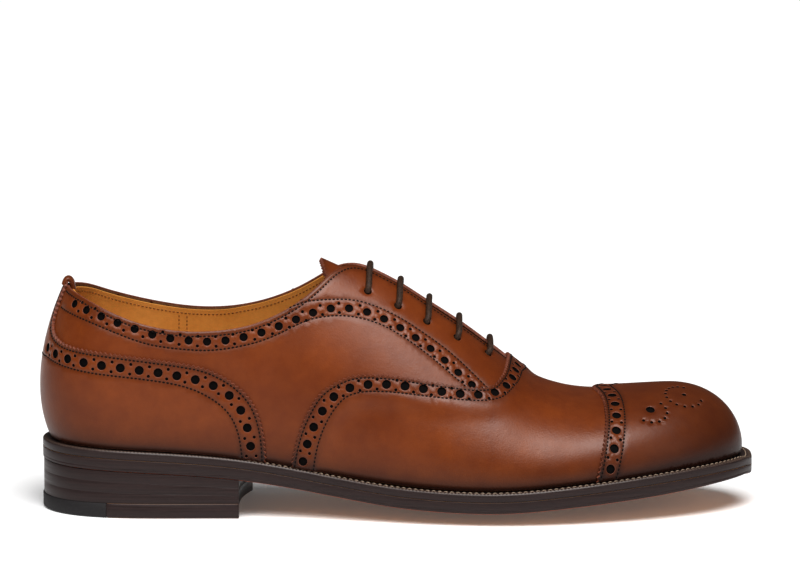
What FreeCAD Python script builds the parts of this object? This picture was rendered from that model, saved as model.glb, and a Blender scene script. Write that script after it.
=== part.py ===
import FreeCAD, Part
import bisect
import math
import os

V = FreeCAD.Vector

# ---------------------------------------------------------------------------
# Leather oxford shoe, right foot, about EU 42.
# Working frame: X runs from the back of the heel to the toe, Y points to the
# medial side, Z is up from the ground. ORIGIN moves the bottom centre of the
# shoe to 0, 0, 0 on export. All sizes are in millimetres.
# A place on the upper is given by its run (along the feather edge from the
# back seam) and its rise (up the leather from the feather edge).
# ---------------------------------------------------------------------------
ORIGIN = V(151.6, -1.35, 0.0)
LATERAL = -1
MEDIAL = 1

# Last: the feather edge, where the upper meets the welt
HEEL_BACK_X = 5.1
TOE_TIP_X = 298.2
LATERAL_OUTLINE = [(0, 0), (.1, -19.2), (.2, -29.5), (.3, -30.5), (.4, -32.5), (.5, -42),
                   (.6, -48.5), (.7, -43), (.8, -30.3), (.9, -13.8), (1, 4)]
MEDIAL_OUTLINE = [(0, 0), (.1, 19.2), (.2, 29), (.3, 28.5), (.4, 26.5), (.5, 34),
                  (.6, 44.5), (.7, 44), (.8, 35), (.9, 21.5), (1, 4)]
FEATHER_HEIGHT = [(5, 30.3), (45, 28.6), (85, 25.2), (120, 19.9), (155, 15.5), (195, 14.2),
                  (235, 17.2), (270, 20.6), (298, 22.6)]
# Last: the ridge line over the instep and toe, closed above the collar
RIDGE_STATION = [(5.1, 30), (30, 40), (60, 62), (100, 100), (150, 150), (190, 190),
                 (230, 225.5), (265, 248), (298.2, 264)]
RIDGE_SIDE = [(30, 0), (100, 0), (150, 1.5), (200, 3.2), (264, 4)]
RIDGE_HEIGHT = [(30, 124), (60, 124), (90, 122), (112, 116.5), (128, 109.6), (143, 102.6),
                (153, 97.2), (163.4, 90.4), (174, 83.2), (188, 72.8), (197.7, 64.8),
                (204.5, 59.2), (211, 55), (218, 52.2), (226, 50.2), (238, 49.2),
                (250, 49.7), (264, 50.9)]
# Last: how full the wall is, and how flat the top is
WALL_FULLNESS = [(0, .235), (.1, .30), (.2, .5), (.3, .6), (.4, .6), (.5, .52), (.6, .47),
                 (.7, .55), (.8, .53), (.9, .46), (1, .43)]
TOP_FULLNESS = [(0, 1.044), (.1, .95), (.2, .8), (.3, .62), (.4, .55), (.5, .5), (.6, .5),
                (.7, .62), (.8, .71), (.9, .73), (1, .72)]
WALL_FLARE = [(0, 11), (.1, 9), (.2, 5.5), (.3, 4.5), (.4, 3.5), (.5, 3), (.6, 3),
              (.7, 2.6), (.8, 2.4), (.9, 2.3), (1, 2.3)]
TOP_DROP = [(0, 29), (.1, 24), (.2, 11), (.3, 2), (.4, 0), (.5, 0), (1, 0)]

# Upper pattern, as (run, rise)
TOPLINE_LATERAL = [(0, 67.5), (12, 66.3), (25, 63.8), (37, 59.8), (50, 55.3), (63, 52.6),
                   (76, 52.1), (88, 53.6), (100, 57), (113, 64), (123, 71.8), (131, 80.5),
                   (138, 89.5), (144, 94.8), (150, 96.8), (157, 95.6), (166, 93),
                   (176, 88.7), (187, 84), (195, 80.5), (202, 77), (219, 70.5)]
TOPLINE_MEDIAL = [(0, 67.5), (12, 66.5), (25, 64.5), (37, 60.6), (50, 57.2), (63, 55.2),
                  (76, 54.6), (88, 55.8), (100, 59), (113, 65), (123, 71.6), (131, 78.5),
                  (138, 85), (144, 89), (150, 90.6), (157, 89.2), (166, 86.2),
                  (176, 81.6), (187, 76.9), (195, 73.3), (202, 69.6), (219, 63)]
QUARTER_HIDDEN_EDGE = [(0, 0), (60, 0), (118, 0), (125.5, 0), (129, 11), (134, 22), (141, 31),
                       (150, 36.5), (162, 38.5), (180, 38.5), (198, 39), (208, 42), (215, 50)]
LINING_HIDDEN_EDGE = [(0, 0), (60, 0), (120, 0), (180, 0), (195.5, 0), (195.5, 18), (197, 36),
                      (203, 50), (209, 61)]
COUNTER_EDGE = [(0, 69.5), (4.5, 68.5), (5.2, 62), (5.6, 56), (8, 49.5), (14, 45), (25, 42),
                (39, 40.8), (55, 39.6), (71, 38.4), (84, 36.5), (92, 33.4), (98, 29.6),
                (103, 24), (105.8, 17.5), (107.4, 10), (108, 0)]
VAMP_WING_EDGE = [(119, 0), (121.2, 10.9), (124, 19.5), (127.5, 27), (133, 35), (141, 41),
                  (151, 44.8), (162, 45.8), (178, 45.4), (196, 45), (203, 46), (207.5, 50),
                  (210, 56), (211.5, 64), (212.3, 72)]
VAMP_RIDGE_RUN = 212.6
CAP_EDGE = [(249.5, 0), (252.5, 12), (255.5, 24), (257.8, 36), (259, 46), (259, 53)]
CAP_RIDGE_RUN = 258.4
VAMP_UNDER_CAP = 10.0
PUFF_PAST_VAMP = 3.0
FRONT_EASE = 0.35
LINING_BELOW_TOPLINE = 0.6
LINING_FRONT_CORNER = {LATERAL: (211, 73), MEDIAL: (211, 65.5)}
VAMP_LINING_EDGE = [(197.2, 0), (197.2, 18), (198.7, 36), (205.2, 50), (211.7, 62)]
VAMP_LINING_RIDGE_RUN = 214.2
STIFFENER_EDGE = [(0, 52), (20, 48), (45, 42), (65, 33), (80, 18), (86, 0)]
STIFFENER_END_RUN = 86.0

# Leather, from the last outwards
LEATHER = 1.2
LINING = 1.0
GLUE_LINE = 0.1
LAYER_GAP = 0.3
BODY_GAP = 0.3
STIFFENER = 1.0
SKIVE_START = 8.0
SKIVE_LENGTH = 8.0

# Bottom: heights of the welt's top edge, thicknesses and how far it stands out
WELT_TOP = [(0, 29.7), (45, 28), (85, 24.8), (115, 20.2), (153, 15.1), (179, 13.8), (196, 13.8),
            (222, 15.6), (237, 17), (269, 20), (291, 21.5), (304, 21.8)]
BOTTOM_THICKNESS = [(0, 8.8), (85, 8.8), (112, 8.5), (150, 8.6), (230, 8.7), (275, 8.6), (304, 7.2)]
CAMBER = [(0, 0), (90, 0), (115, 1.5), (150, 4.2), (190, 5.1), (225, 4.9), (260, 3.2), (304, 1)]
CAMBER_REACH = 6.0
WELT_STAND = [(0, 4.6), (.1, 4), (.2, 3.5), (.35, 3.4), (.42, 3), (.5, 4.6), (.6, 5.5),
              (.8, 5.6), (1, 5.7)]
WELT_THICKNESS = 3.6
INSEAM_INSET = 3.6
INSOLE_INSET = 4.2
INSOLE_THICKNESS = 3.0
INSOLE_LIFT = 2.1
CORK_THICKNESS = 2.5
CORK_INSET = 5.0
SOCK_THICKNESS = 1.0
SOCK_LENGTH = 88.0

# Heel
BREAST_LATERAL_X = 85.0
BREAST_MIDDLE_X = 84.5
BREAST_MEDIAL_X = 89.5
RAND_PAST_BREAST = 2.9
TOP_PIECE_THICKNESS = 6.0
LIFT_COUNT = 3
RUBBER_LENGTH = 29.0
RUBBER_MIDDLE_X = 36.0
RUBBER_EDGE_Y = 30.0
LIFT_INSET = 0.4
HEEL_SLAB_END = 100.0
NAIL_RADIUS = 0.9
NAIL_LENGTH = 12.0
NAIL_SUNK = 0.3
NAIL_PLACES = [(10, 0), (14, -15), (14, 15), (24, -22), (24, 22), (27, -8), (27, 8), (46, -24),
               (46, 24), (60, -23), (60, 22), (75, -22), (77, 21), (52, 0), (70, 0)]
SHANK_SIZE = (100.0, 13.0, 1.4)
SHANK_START_X = 62.0
SHANK_MIDDLE_Y = -1.0

# Ball of the foot, where the bottom bends
BALL_X = 206.0

# Tongue, as distance along the ridge and girth to each side of it
TONGUE_BASE_X = 200.0
TONGUE_TOP_X = 125.0
TONGUE_HALF_WIDTH = 24.0
TONGUE_BASE_SHARE = 0.72
TONGUE_WIDE_FROM = 0.625
TONGUE_THICKNESS = 1.8
TONGUE_DEPTH = 6.3

# Lace: five straight bars through five pairs of eyelets
LACE_DIAMETER = 2.2
EYELET_DIAMETER = 3.4
EYELETS = [(204, 15.5), (190.6, 19.5), (177.6, 21), (165.2, 21.5), (152.1, 21)]
LACE_OVER = 1.5
LACE_UNDER = -4.0
LACE_SIDE_STEP = 3.2
AGLET_LENGTH = 14.0
AGLET_WALL = 0.25

# How finely the solids are drawn, and how far the bottom's slabs reach
GRID_ALONG = 44
GRID_ACROSS = 22
SLAB_STEP = 6.0
SLAB_HALF_WIDTH = 66.0
SLAB_START = -12.0
SLAB_END = 310.2
PRISM_HEIGHT = 80.0


class Curve:
    """Smooth curve through (place, value) pairs, straight on past its ends."""

    def __init__(self, pairs):
        self.place = [float(p[0]) for p in pairs]
        self.value = [float(p[1]) for p in pairs]
        count = len(pairs)
        step = [self.place[i + 1] - self.place[i] for i in range(count - 1)]
        below = [0.0] * count
        middle = [1.0] * count
        above = [0.0] * count
        right = [0.0] * count
        for i in range(1, count - 1):
            below[i] = step[i - 1]
            middle[i] = 2 * (step[i - 1] + step[i])
            above[i] = step[i]
            rise_after = (self.value[i + 1] - self.value[i]) / step[i]
            rise_before = (self.value[i] - self.value[i - 1]) / step[i - 1]
            right[i] = 6 * (rise_after - rise_before)
        for i in range(1, count):
            factor = below[i] / middle[i - 1]
            middle[i] -= factor * above[i - 1]
            right[i] -= factor * right[i - 1]
        self.bend = [0.0] * count
        for i in range(count - 2, 0, -1):
            self.bend[i] = (right[i] - above[i] * self.bend[i + 1]) / middle[i]

    def __call__(self, place):
        first, last = self.place[0], self.place[-1]
        inside = min(max(place, first), last)
        i = min(max(bisect.bisect_right(self.place, inside) - 1, 0), len(self.place) - 2)
        step = self.place[i + 1] - self.place[i]
        a = (self.place[i + 1] - inside) / step
        b = 1 - a
        value = a * self.value[i] + b * self.value[i + 1]
        value += ((a ** 3 - a) * self.bend[i] + (b ** 3 - b) * self.bend[i + 1]) * step ** 2 / 6
        if place == inside:
            return value
        slope = (self.value[i + 1] - self.value[i]) / step
        if place > last:
            slope += step * self.bend[i] / 6
        else:
            slope -= step * self.bend[i + 1] / 6
        return value + slope * (place - inside)


def smoothstep(x):
    """Smooth step from 0 to 1, flat outside them."""
    x = min(max(x, 0.0), 1.0)
    return x * x * (3 - 2 * x)


def path_through(points):
    """Two curves that run smoothly through points of a plane, by distance."""
    gone = [0.0]
    for a, b in zip(points, points[1:]):
        gone.append(gone[-1] + math.hypot(b[0] - a[0], b[1] - a[1]))
    first = Curve([(g / gone[-1], p[0]) for g, p in zip(gone, points)])
    second = Curve([(g / gone[-1], p[1]) for g, p in zip(gone, points)])
    return lambda share: (first(share), second(share))


outline_y = {LATERAL: Curve(LATERAL_OUTLINE), MEDIAL: Curve(MEDIAL_OUTLINE)}
feather_height = Curve(FEATHER_HEIGHT)
ridge_station = Curve(RIDGE_STATION)
ridge_side = Curve(RIDGE_SIDE)
ridge_height = Curve(RIDGE_HEIGHT)
wall_fullness = Curve(WALL_FULLNESS)
top_fullness = Curve(TOP_FULLNESS)
wall_flare = Curve(WALL_FLARE)
top_drop = Curve(TOP_DROP)
welt_top = Curve(WELT_TOP)
bottom_thickness = Curve(BOTTOM_THICKNESS)
camber = Curve(CAMBER)
welt_stand = Curve(WELT_STAND)


# ---------------------------------------------------------------------------
# The last
# ---------------------------------------------------------------------------
def feather_point(c, side):
    """Point c of the feather edge, from the back seam (0) to the toe tip (1)."""
    x = HEEL_BACK_X + (TOE_TIP_X - HEEL_BACK_X) * (1 - math.cos(math.pi * c)) / 2
    return x, outline_y[side](c)


def outward(c, side):
    """Level direction square to the feather edge, away from the last."""
    step = 1e-4
    if c < step:
        return -1.0, 0.0
    if c > 1 - step:
        return 1.0, 0.0
    a = feather_point(c - step, side)
    b = feather_point(c + step, side)
    length = math.hypot(b[0] - a[0], b[1] - a[1])
    along = (b[0] - a[0]) / length, (b[1] - a[1]) / length
    return -side * along[1], side * along[0]


def section(c, side):
    """Four control points of the last's section from the feather edge to the ridge."""
    x, y = feather_point(c, side)
    nx, ny = outward(c, side)
    ridge_x = ridge_station(x)
    ridge_y = ridge_side(ridge_x)
    ridge_z = ridge_height(ridge_x)
    slope = ridge_height(ridge_x + .5) - ridge_height(ridge_x - .5)
    low = feather_height(x)
    flare = wall_flare(c)
    full = top_fullness(c)
    wall = V(x + flare * nx, y + flare * ny, low + wall_fullness(c) * (ridge_z - low))
    reach_x = full * (x - ridge_x)
    reach_y = full * (y - ridge_y)
    top = V(ridge_x + reach_x, ridge_y + reach_y, ridge_z + slope * reach_x - top_drop(c))
    return V(x, y, low), wall, top, V(ridge_x, ridge_y, ridge_z)


def on_section(points, t):
    """Point of a section's curve, t from 0 at the feather edge to 1 at the ridge."""
    u = 1 - t
    foot, wall, top, ridge = points
    return foot * u ** 3 + wall * (3 * t * u * u) + top * (3 * t * t * u) + ridge * t ** 3


def last_point(c, side, t, offset=0.0):
    """Point on the upper's outside, moved outwards by offset."""
    point = on_section(section(c, side), t)
    if offset == 0.0:
        return point
    step = 2e-3
    c0, c1 = max(c - step, 0.0), min(c + step, 1.0)
    t0, t1 = max(t - step, 0.0), min(t + step, 1.0)
    if t > 1 - 2 * step:
        slope = ridge_height(point.x + .5) - ridge_height(point.x - .5)
        normal = V(-slope, 0, 1)
    else:
        along = on_section(section(c1, side), t) - on_section(section(c0, side), t)
        up = on_section(section(c, side), t1) - on_section(section(c, side), t0)
        if c0 == 0.0 or c1 == 1.0:
            along.x = 0.0
            along.z = 0.0
        normal = up.cross(along) * side
    normal.normalize()
    return point + normal * offset


TABLE_STEPS = 400
GIRTH_STEPS = 40
run_table = {}
for each_side in (LATERAL, MEDIAL):
    gone = [0.0]
    for i in range(TABLE_STEPS):
        ax, ay = feather_point(i / TABLE_STEPS, each_side)
        bx, by = feather_point((i + 1) / TABLE_STEPS, each_side)
        gone.append(gone[-1] + math.hypot(bx - ax, by - ay))
    run_table[each_side] = gone


def station_at(run, side):
    """Station c at a run along the feather edge."""
    gone = run_table[side]
    i = min(max(bisect.bisect_right(gone, run) - 1, 0), TABLE_STEPS - 1)
    return min((i + (run - gone[i]) / (gone[i + 1] - gone[i])) / TABLE_STEPS, 1.0)


def girth_table(c, side):
    """Distances up a section at even steps of t."""
    points = section(c, side)
    gone = [0.0]
    before = points[0]
    for i in range(1, GIRTH_STEPS + 1):
        here = on_section(points, i / GIRTH_STEPS)
        gone.append(gone[-1] + here.distanceToPoint(before))
        before = here
    return gone


def at_girth(gone, rise):
    """Share t of a section at a rise up the leather."""
    i = min(max(bisect.bisect_right(gone, rise) - 1, 0), GIRTH_STEPS - 1)
    return min((i + (rise - gone[i]) / (gone[i + 1] - gone[i])) / GIRTH_STEPS, 1.0)


def pattern_point(side, run, rise, offset=0.0):
    """Point of the upper at a run and a rise."""
    c = station_at(run, side)
    return last_point(c, side, at_girth(girth_table(c, side), rise), offset)


def girth_point(c, side, share, offset=0.0):
    """Point at a share of the girth up the section, 0 at the feather edge."""
    gone = girth_table(c, side)
    return last_point(c, side, at_girth(gone, share * gone[-1]), offset)


# ---------------------------------------------------------------------------
# Solids from grids of points
# ---------------------------------------------------------------------------
def knots(count, degree):
    """Even clamped knots and their counts."""
    spans = count - degree
    return [float(i) for i in range(spans + 1)], [degree + 1] + [1] * (spans - 1) + [degree + 1]


def grid_face(grid):
    """Smooth face with the grid as its control net."""
    rows = len(grid)
    columns = len(grid[0])
    row_degree = min(3, rows - 1)
    column_degree = min(3, columns - 1)
    row_knots, row_counts = knots(rows, row_degree)
    column_knots, column_counts = knots(columns, column_degree)
    surface = Part.BSplineSurface()
    surface.buildFromPolesMultsKnots(grid, row_counts, column_counts, row_knots, column_knots,
                                     False, False, row_degree, column_degree)
    return surface.toShape()


def closed_solid(faces, name):
    """One valid solid with its volume outwards from faces that meet edge to edge."""
    shell = Part.makeShell(faces)
    shell.sewShape()
    if shell.ShapeType != "Shell":
        shell = shell.Shells[0]
    solid = Part.makeSolid(shell)
    if solid.Volume < 0:
        solid.reverse()
    if not solid.isValid() or not solid.isClosed():
        solid.fix(1e-3, 1e-3, 1e-2)
    state = solid.isValid() and solid.isClosed()
    print(name, "valid and closed", state, "volume", round(solid.Volume, 1))
    return solid


def edge_rows(grid):
    """The four edges of a grid: first row, last row, first column, last column."""
    return grid[0], grid[-1], [row[0] for row in grid], [row[-1] for row in grid]


def plate(outer, inner, name):
    """Solid between two grids of the same size."""
    faces = [grid_face(outer), grid_face(inner)]
    for top, bottom in zip(edge_rows(outer), edge_rows(inner)):
        faces.append(grid_face([top, bottom]))
    return closed_solid(faces, name)


def halves(outer_pair, inner_pair, name):
    """Solid of two mirrored halves that share the ridge row and the toe column."""
    faces = []
    for outer, inner in zip(outer_pair, inner_pair):
        faces += [grid_face(outer), grid_face(inner)]
        outer_edges = edge_rows(outer)
        inner_edges = edge_rows(inner)
        for k in (0, 2):
            faces.append(grid_face([outer_edges[k], inner_edges[k]]))
    return closed_solid(faces, name)


def panel(side, low_edge, high_edge, inner, outer, name, columns=GRID_ALONG, rows=GRID_ACROSS):
    """Panel on one side of the upper, between two edges given as (run, rise)."""
    low = path_through(low_edge)
    high = path_through(high_edge)
    grids = []
    for layer in (outer, inner):
        grid = []
        for i in range(columns + 1):
            a = low(i / columns)
            b = high(i / columns)
            column = []
            for j in range(rows + 1):
                share = j / rows
                run = max(a[0] + (b[0] - a[0]) * share, 0.0)
                rise = max(a[1] + (b[1] - a[1]) * share, 0.0)
                offset = layer(run, rise) if callable(layer) else layer
                column.append(pattern_point(side, run, rise, offset))
            grid.append(column)
        grids.append(grid)
    return plate(grids[0], grids[1], name)


def back_panel(half_edge, inner, outer, name):
    """Panel around the back of the heel, the same on both sides, down to the feather edge."""
    high = path_through(half_edge)
    end_run = half_edge[-1][0]
    columns = GRID_ALONG
    grids = []
    for offset in (outer, inner):
        grid = []
        for i in range(-columns, columns + 1):
            side = LATERAL if i < 0 else MEDIAL
            share = abs(i) / columns
            top = high(share)
            foot = end_run * share
            column = []
            for j in range(GRID_ACROSS + 1):
                up = j / GRID_ACROSS
                run = max(foot + (top[0] - foot) * up, 0.0)
                column.append(pattern_point(side, run, max(top[1] * up, 0.0), offset))
            grid.append(column)
        grids.append(grid)
    return plate(grids[0], grids[1], name)


def across_edge(edge, ridge_run):
    """Edge that crosses the ridge, as (station, share of the girth), foot first."""
    half = []
    for run, rise in edge:
        c = station_at(run, LATERAL)
        half.append((c, rise / girth_table(c, LATERAL)[-1]))
    beyond = [(c, 2 - share) for c, share in half[::-1]]
    points = half + [(station_at(ridge_run, LATERAL), 1.0)] + beyond
    smooth = path_through(points)
    return lambda k: (smooth(k / 2)[0], min(max(smooth(k / 2)[1], 0.0), 1.0))


def toe_piece(edge, ridge_run, inner, outer, name):
    """Closed solid that wraps the toe from an edge across the ridge."""
    columns = 26
    rear = across_edge(edge, ridge_run)
    outers = []
    inners = []
    for side in (LATERAL, MEDIAL):
        for offset, store in ((outer, outers), (inner, inners)):
            grid = []
            for j in range(GRID_ACROSS + 1):
                k = j / GRID_ACROSS
                c, share = rear(k)
                row = []
                for i in range(columns + 1):
                    part = i / columns
                    up = share + (k - share) * part
                    row.append(girth_point(c + (1 - c) * part, side, up, offset))
                grid.append(row)
            # turned, so that the rows of both halves end at the ridge
            store.append([list(column) for column in zip(*grid)])
    return halves(outers, inners, name)


def vamp_solid(name):
    """Vamp with its wings, lying over the quarters behind and on the lining in front."""
    columns = 40
    rows = 26
    rim_points = 120
    wing = across_edge(VAMP_WING_EDGE, VAMP_RIDGE_RUN)
    cap_line = across_edge(CAP_EDGE, CAP_RIDGE_RUN)
    rim = []
    for side in (LATERAL, MEDIAL):
        for i in range(rim_points + 1):
            c, share = wing(i / rim_points)
            rim.append(girth_point(c, side, share))
    grids = {"outer": [], "inner": []}
    for i in range(-columns, columns + 1):
        side = LATERAL if i < 0 else MEDIAL
        k = 1 - abs(i) / columns
        rear_c, rear_share = wing(k)
        front_c = cap_line(k)[0] + VAMP_UNDER_CAP / run_table[side][-1]
        # at the front the columns are spread up the girth, a little closer near the ridge
        front_share = FRONT_EASE * smoothstep(k) + (1 - FRONT_EASE) * k
        places = []
        for j in range(rows + 1):
            part = j / rows
            c = rear_c + (front_c - rear_c) * part
            places.append((c, rear_share + (front_share - rear_share) * part))
        base = [girth_point(c, side, share) for c, share in places]
        outer_row = []
        inner_row = []
        for here, (c, share) in zip(base, places):
            clear = min(here.distanceToPoint(point) for point in rim)
            lift = (LEATHER + LAYER_GAP) * (1 - smoothstep((clear - SKIVE_START) / SKIVE_LENGTH))
            outer_row.append(girth_point(c, side, share, lift))
            inner_row.append(girth_point(c, side, share, lift - LEATHER))
        grids["outer"].append(outer_row)
        grids["inner"].append(inner_row)
    return plate(grids["outer"], grids["inner"], name)


# ---------------------------------------------------------------------------
# Bottom: slabs between curved heights, cut to plan outlines
# ---------------------------------------------------------------------------
def welt_level(x, y):
    """Height of the welt's top plane, cambered across the forepart."""
    c = station_of_x(x)
    half_left = abs(outline_y[MEDIAL](c)) + CAMBER_REACH
    half_right = abs(outline_y[LATERAL](c)) + CAMBER_REACH
    middle = (half_left - half_right) / 2
    half = (half_left + half_right) / 2
    across = min(abs(y - middle) / half, 1.0)
    return welt_top(x) - camber(x) * (1 + math.cos(math.pi * across)) / 2


def station_of_x(x):
    """Station c at a distance x along the shoe."""
    share = (x - HEEL_BACK_X) / (TOE_TIP_X - HEEL_BACK_X)
    return math.acos(1 - 2 * min(max(share, 0.0), 1.0)) / math.pi


def slab(top, bottom, x_range, name):
    """Wide solid between two heights given as functions of x and y."""
    x0, x1 = x_range
    along = max(int((x1 - x0) / SLAB_STEP), 6)
    across = 24
    grids = []
    for height in (top, bottom):
        grid = []
        for i in range(along + 1):
            x = x0 + (x1 - x0) * i / along
            row = []
            for j in range(across + 1):
                y = -SLAB_HALF_WIDTH + 2 * SLAB_HALF_WIDTH * j / across
                row.append(V(x, y, height(x, y)))
            grid.append(row)
        grids.append(grid)
    return plate(grids[0], grids[1], name)


def edge_curve(c0, c1, side, stand, count=36):
    """Plan curve beside the feather edge; stand is a function of c or a distance."""
    points = []
    for i in range(count + 1):
        c = c0 + (c1 - c0) * i / count
        x, y = feather_point(c, side)
        nx, ny = outward(c, side)
        d = stand(c) if callable(stand) else stand
        points.append(V(x + nx * d, y + ny * d, 0))
    return points


def plan_solid(loops):
    """Tall prism on a closed plan outline made of point runs joined end to end."""
    edges = []
    for points in loops:
        if len(points) == 2:
            edges.append(Part.LineSegment(points[0], points[1]).toShape())
        else:
            curve = Part.BSplineCurve()
            curve.interpolate(points)
            edges.append(curve.toShape())
    wire = Part.Wire(edges)
    face = Part.Face(wire)
    prism = face.extrude(V(0, 0, PRISM_HEIGHT))
    prism.translate(V(0, 0, -PRISM_HEIGHT / 4))
    return prism


def clip_x(points, x, ahead):
    """The part of a point run ahead of or behind x, cut exactly at x."""
    kept = []
    for a, b in zip(points, points[1:]):
        a_in = (a.x >= x) == ahead
        b_in = (b.x >= x) == ahead
        if a_in:
            kept.append(a)
        if a_in != b_in:
            kept.append(a + (b - a) * ((x - a.x) / (b.x - a.x)))
    if (points[-1].x >= x) == ahead:
        kept.append(points[-1])
    return kept


def ends_at(x, stand, side, ahead):
    """Edge run from x to the toe tip, or from the back seam to x."""
    return clip_x(edge_curve(0, 1, side, stand, 90), x, ahead)


def forepart_prism(x, stand):
    lateral = ends_at(x, stand, LATERAL, True)
    medial = ends_at(x, stand, MEDIAL, True)
    around = lateral + medial[-2::-1]
    return plan_solid([around, [around[-1], around[0]]])


def rear_prism(x, stand, start=None):
    """Plan prism behind x, from the back of the heel or from start."""
    lateral = ends_at(x, stand, LATERAL, False)
    medial = ends_at(x, stand, MEDIAL, False)
    if start is None:
        around = lateral[::-1] + medial[1:]
        return plan_solid([around, [around[-1], around[0]]])
    lateral = clip_x(lateral, start, True)
    medial = clip_x(medial, start, True)
    return plan_solid([lateral, [lateral[-1], medial[-1]], medial[::-1], [medial[0], lateral[0]]])


def one_solid(shape, name):
    """The largest solid of a shape, with its name and volume printed."""
    solids = sorted(shape.Solids, key=lambda s: s.Volume)
    solid = solids[-1]
    print(name, "valid", solid.isValid(), "pieces", len(solids), "volume", round(solid.Volume, 1))
    return solid


def lowered(depth):
    """Height function a fixed depth below the welt's top."""
    return lambda x, y: welt_level(x, y) - depth


def sole_bottom(x, y):
    return max(welt_level(x, y) - bottom_thickness(x), 0.0)


def sole_pieces():
    """Outsole, welt, insole and cork, each in a rear piece and a forepart piece."""
    pieces = {}
    seam = WELT_THICKNESS + GLUE_LINE / 2
    whole = (SLAB_START, SLAB_END)
    rear_x = BALL_X - BODY_GAP / 2
    fore_x = BALL_X + BODY_GAP / 2
    stand = welt_stand

    outsole = slab(lowered(seam), sole_bottom, whole, "outsole slab")
    rear_plan = rear_prism(rear_x, stand)
    fore_plan = forepart_prism(fore_x, stand)
    pieces["outsole_rear"] = one_solid(outsole.common(rear_plan), "outsole_rear")
    pieces["outsole_forepart"] = one_solid(outsole.common(fore_plan), "outsole_forepart")

    welt = slab(lowered(0), lowered(WELT_THICKNESS), whole, "welt slab")
    inside = -INSEAM_INSET
    ring = fore_plan.cut(forepart_prism(fore_x - 5, inside))
    pieces["welt_forepart"] = one_solid(welt.common(ring), "welt_forepart")
    seams = {LATERAL: BREAST_LATERAL_X + RAND_PAST_BREAST, MEDIAL: BREAST_MEDIAL_X + RAND_PAST_BREAST}
    for side, name in ((LATERAL, "welt_lateral"), (MEDIAL, "welt_medial")):
        outer = clip_x(ends_at(rear_x, stand, side, False), seams[side] + GLUE_LINE, True)
        inner = clip_x(ends_at(rear_x, inside, side, False), seams[side] + GLUE_LINE, True)
        strip = plan_solid([outer, [outer[-1], inner[-1]], inner[::-1], [inner[0], outer[0]]])
        pieces[name] = one_solid(welt.common(strip), name)
    # the rand closes the welt around the heel seat
    outer = [ends_at(seams[side], stand, side, False) for side in (LATERAL, MEDIAL)]
    inner = [ends_at(seams[side], inside, side, False) for side in (LATERAL, MEDIAL)]
    around_outer = outer[0][::-1] + outer[1][1:]
    around_inner = inner[0][::-1] + inner[1][1:]
    rand = plan_solid([around_outer, [around_outer[-1], around_inner[-1]], around_inner[::-1],
                       [around_inner[0], around_outer[0]]])
    pieces["heel_rand"] = one_solid(welt.common(rand), "heel_rand")

    insole_top = -INSOLE_LIFT
    insole = slab(lowered(insole_top), lowered(insole_top + INSOLE_THICKNESS), whole, "insole slab")
    inset = -INSOLE_INSET
    pieces["insole_rear"] = one_solid(insole.common(rear_prism(rear_x, inset)), "insole_rear")
    pieces["insole_forepart"] = one_solid(insole.common(forepart_prism(fore_x, inset)), "insole_forepart")

    cork_top = insole_top + INSOLE_THICKNESS + GLUE_LINE
    cork = slab(lowered(cork_top), lowered(cork_top + CORK_THICKNESS), whole, "cork slab")
    inset = -CORK_INSET
    length, width, thickness = SHANK_SIZE
    rear_cork = cork.common(rear_prism(rear_x, inset, SHANK_START_X + length + 1))
    pieces["cork_rear"] = one_solid(rear_cork, "cork_rear")
    pieces["cork_forepart"] = one_solid(cork.common(forepart_prism(fore_x, inset)), "cork_forepart")

    shank_top = cork_top + BODY_GAP
    shank_slab = slab(lowered(shank_top), lowered(shank_top + thickness), whole, "shank slab")
    bar = Part.makeBox(length, width, PRISM_HEIGHT, V(SHANK_START_X, SHANK_MIDDLE_Y - width / 2, 0))
    pieces["shank"] = one_solid(shank_slab.common(bar), "shank")

    sock_top = insole_top - GLUE_LINE - SOCK_THICKNESS
    sock = slab(lowered(sock_top), lowered(sock_top + SOCK_THICKNESS), whole, "sock slab")
    pieces["heel_sock"] = one_solid(sock.common(rear_prism(SOCK_LENGTH, inset)), "heel_sock")
    return pieces


def breast_run(lateral_end, medial_end):
    """Shallow curve of the heel breast between the two heel edges."""
    middle = V(BREAST_MIDDLE_X, (lateral_end.y + medial_end.y) / 2, 0)
    return [medial_end, (medial_end + middle) / 2 + V(-1.2, 0, 0), middle,
            (lateral_end + middle) / 2 + V(-.3, 0, 0), lateral_end]


def heel_prism(inset):
    """Plan prism of the heel, a little inside the seat edge."""
    stand = Curve([(c, d - inset) for c, d in WELT_STAND])
    lateral = ends_at(BREAST_LATERAL_X, stand, LATERAL, False)
    medial = ends_at(BREAST_MEDIAL_X, stand, MEDIAL, False)
    around = lateral[::-1] + medial[1:]
    return plan_solid([around, breast_run(around[0], around[-1])])


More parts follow.
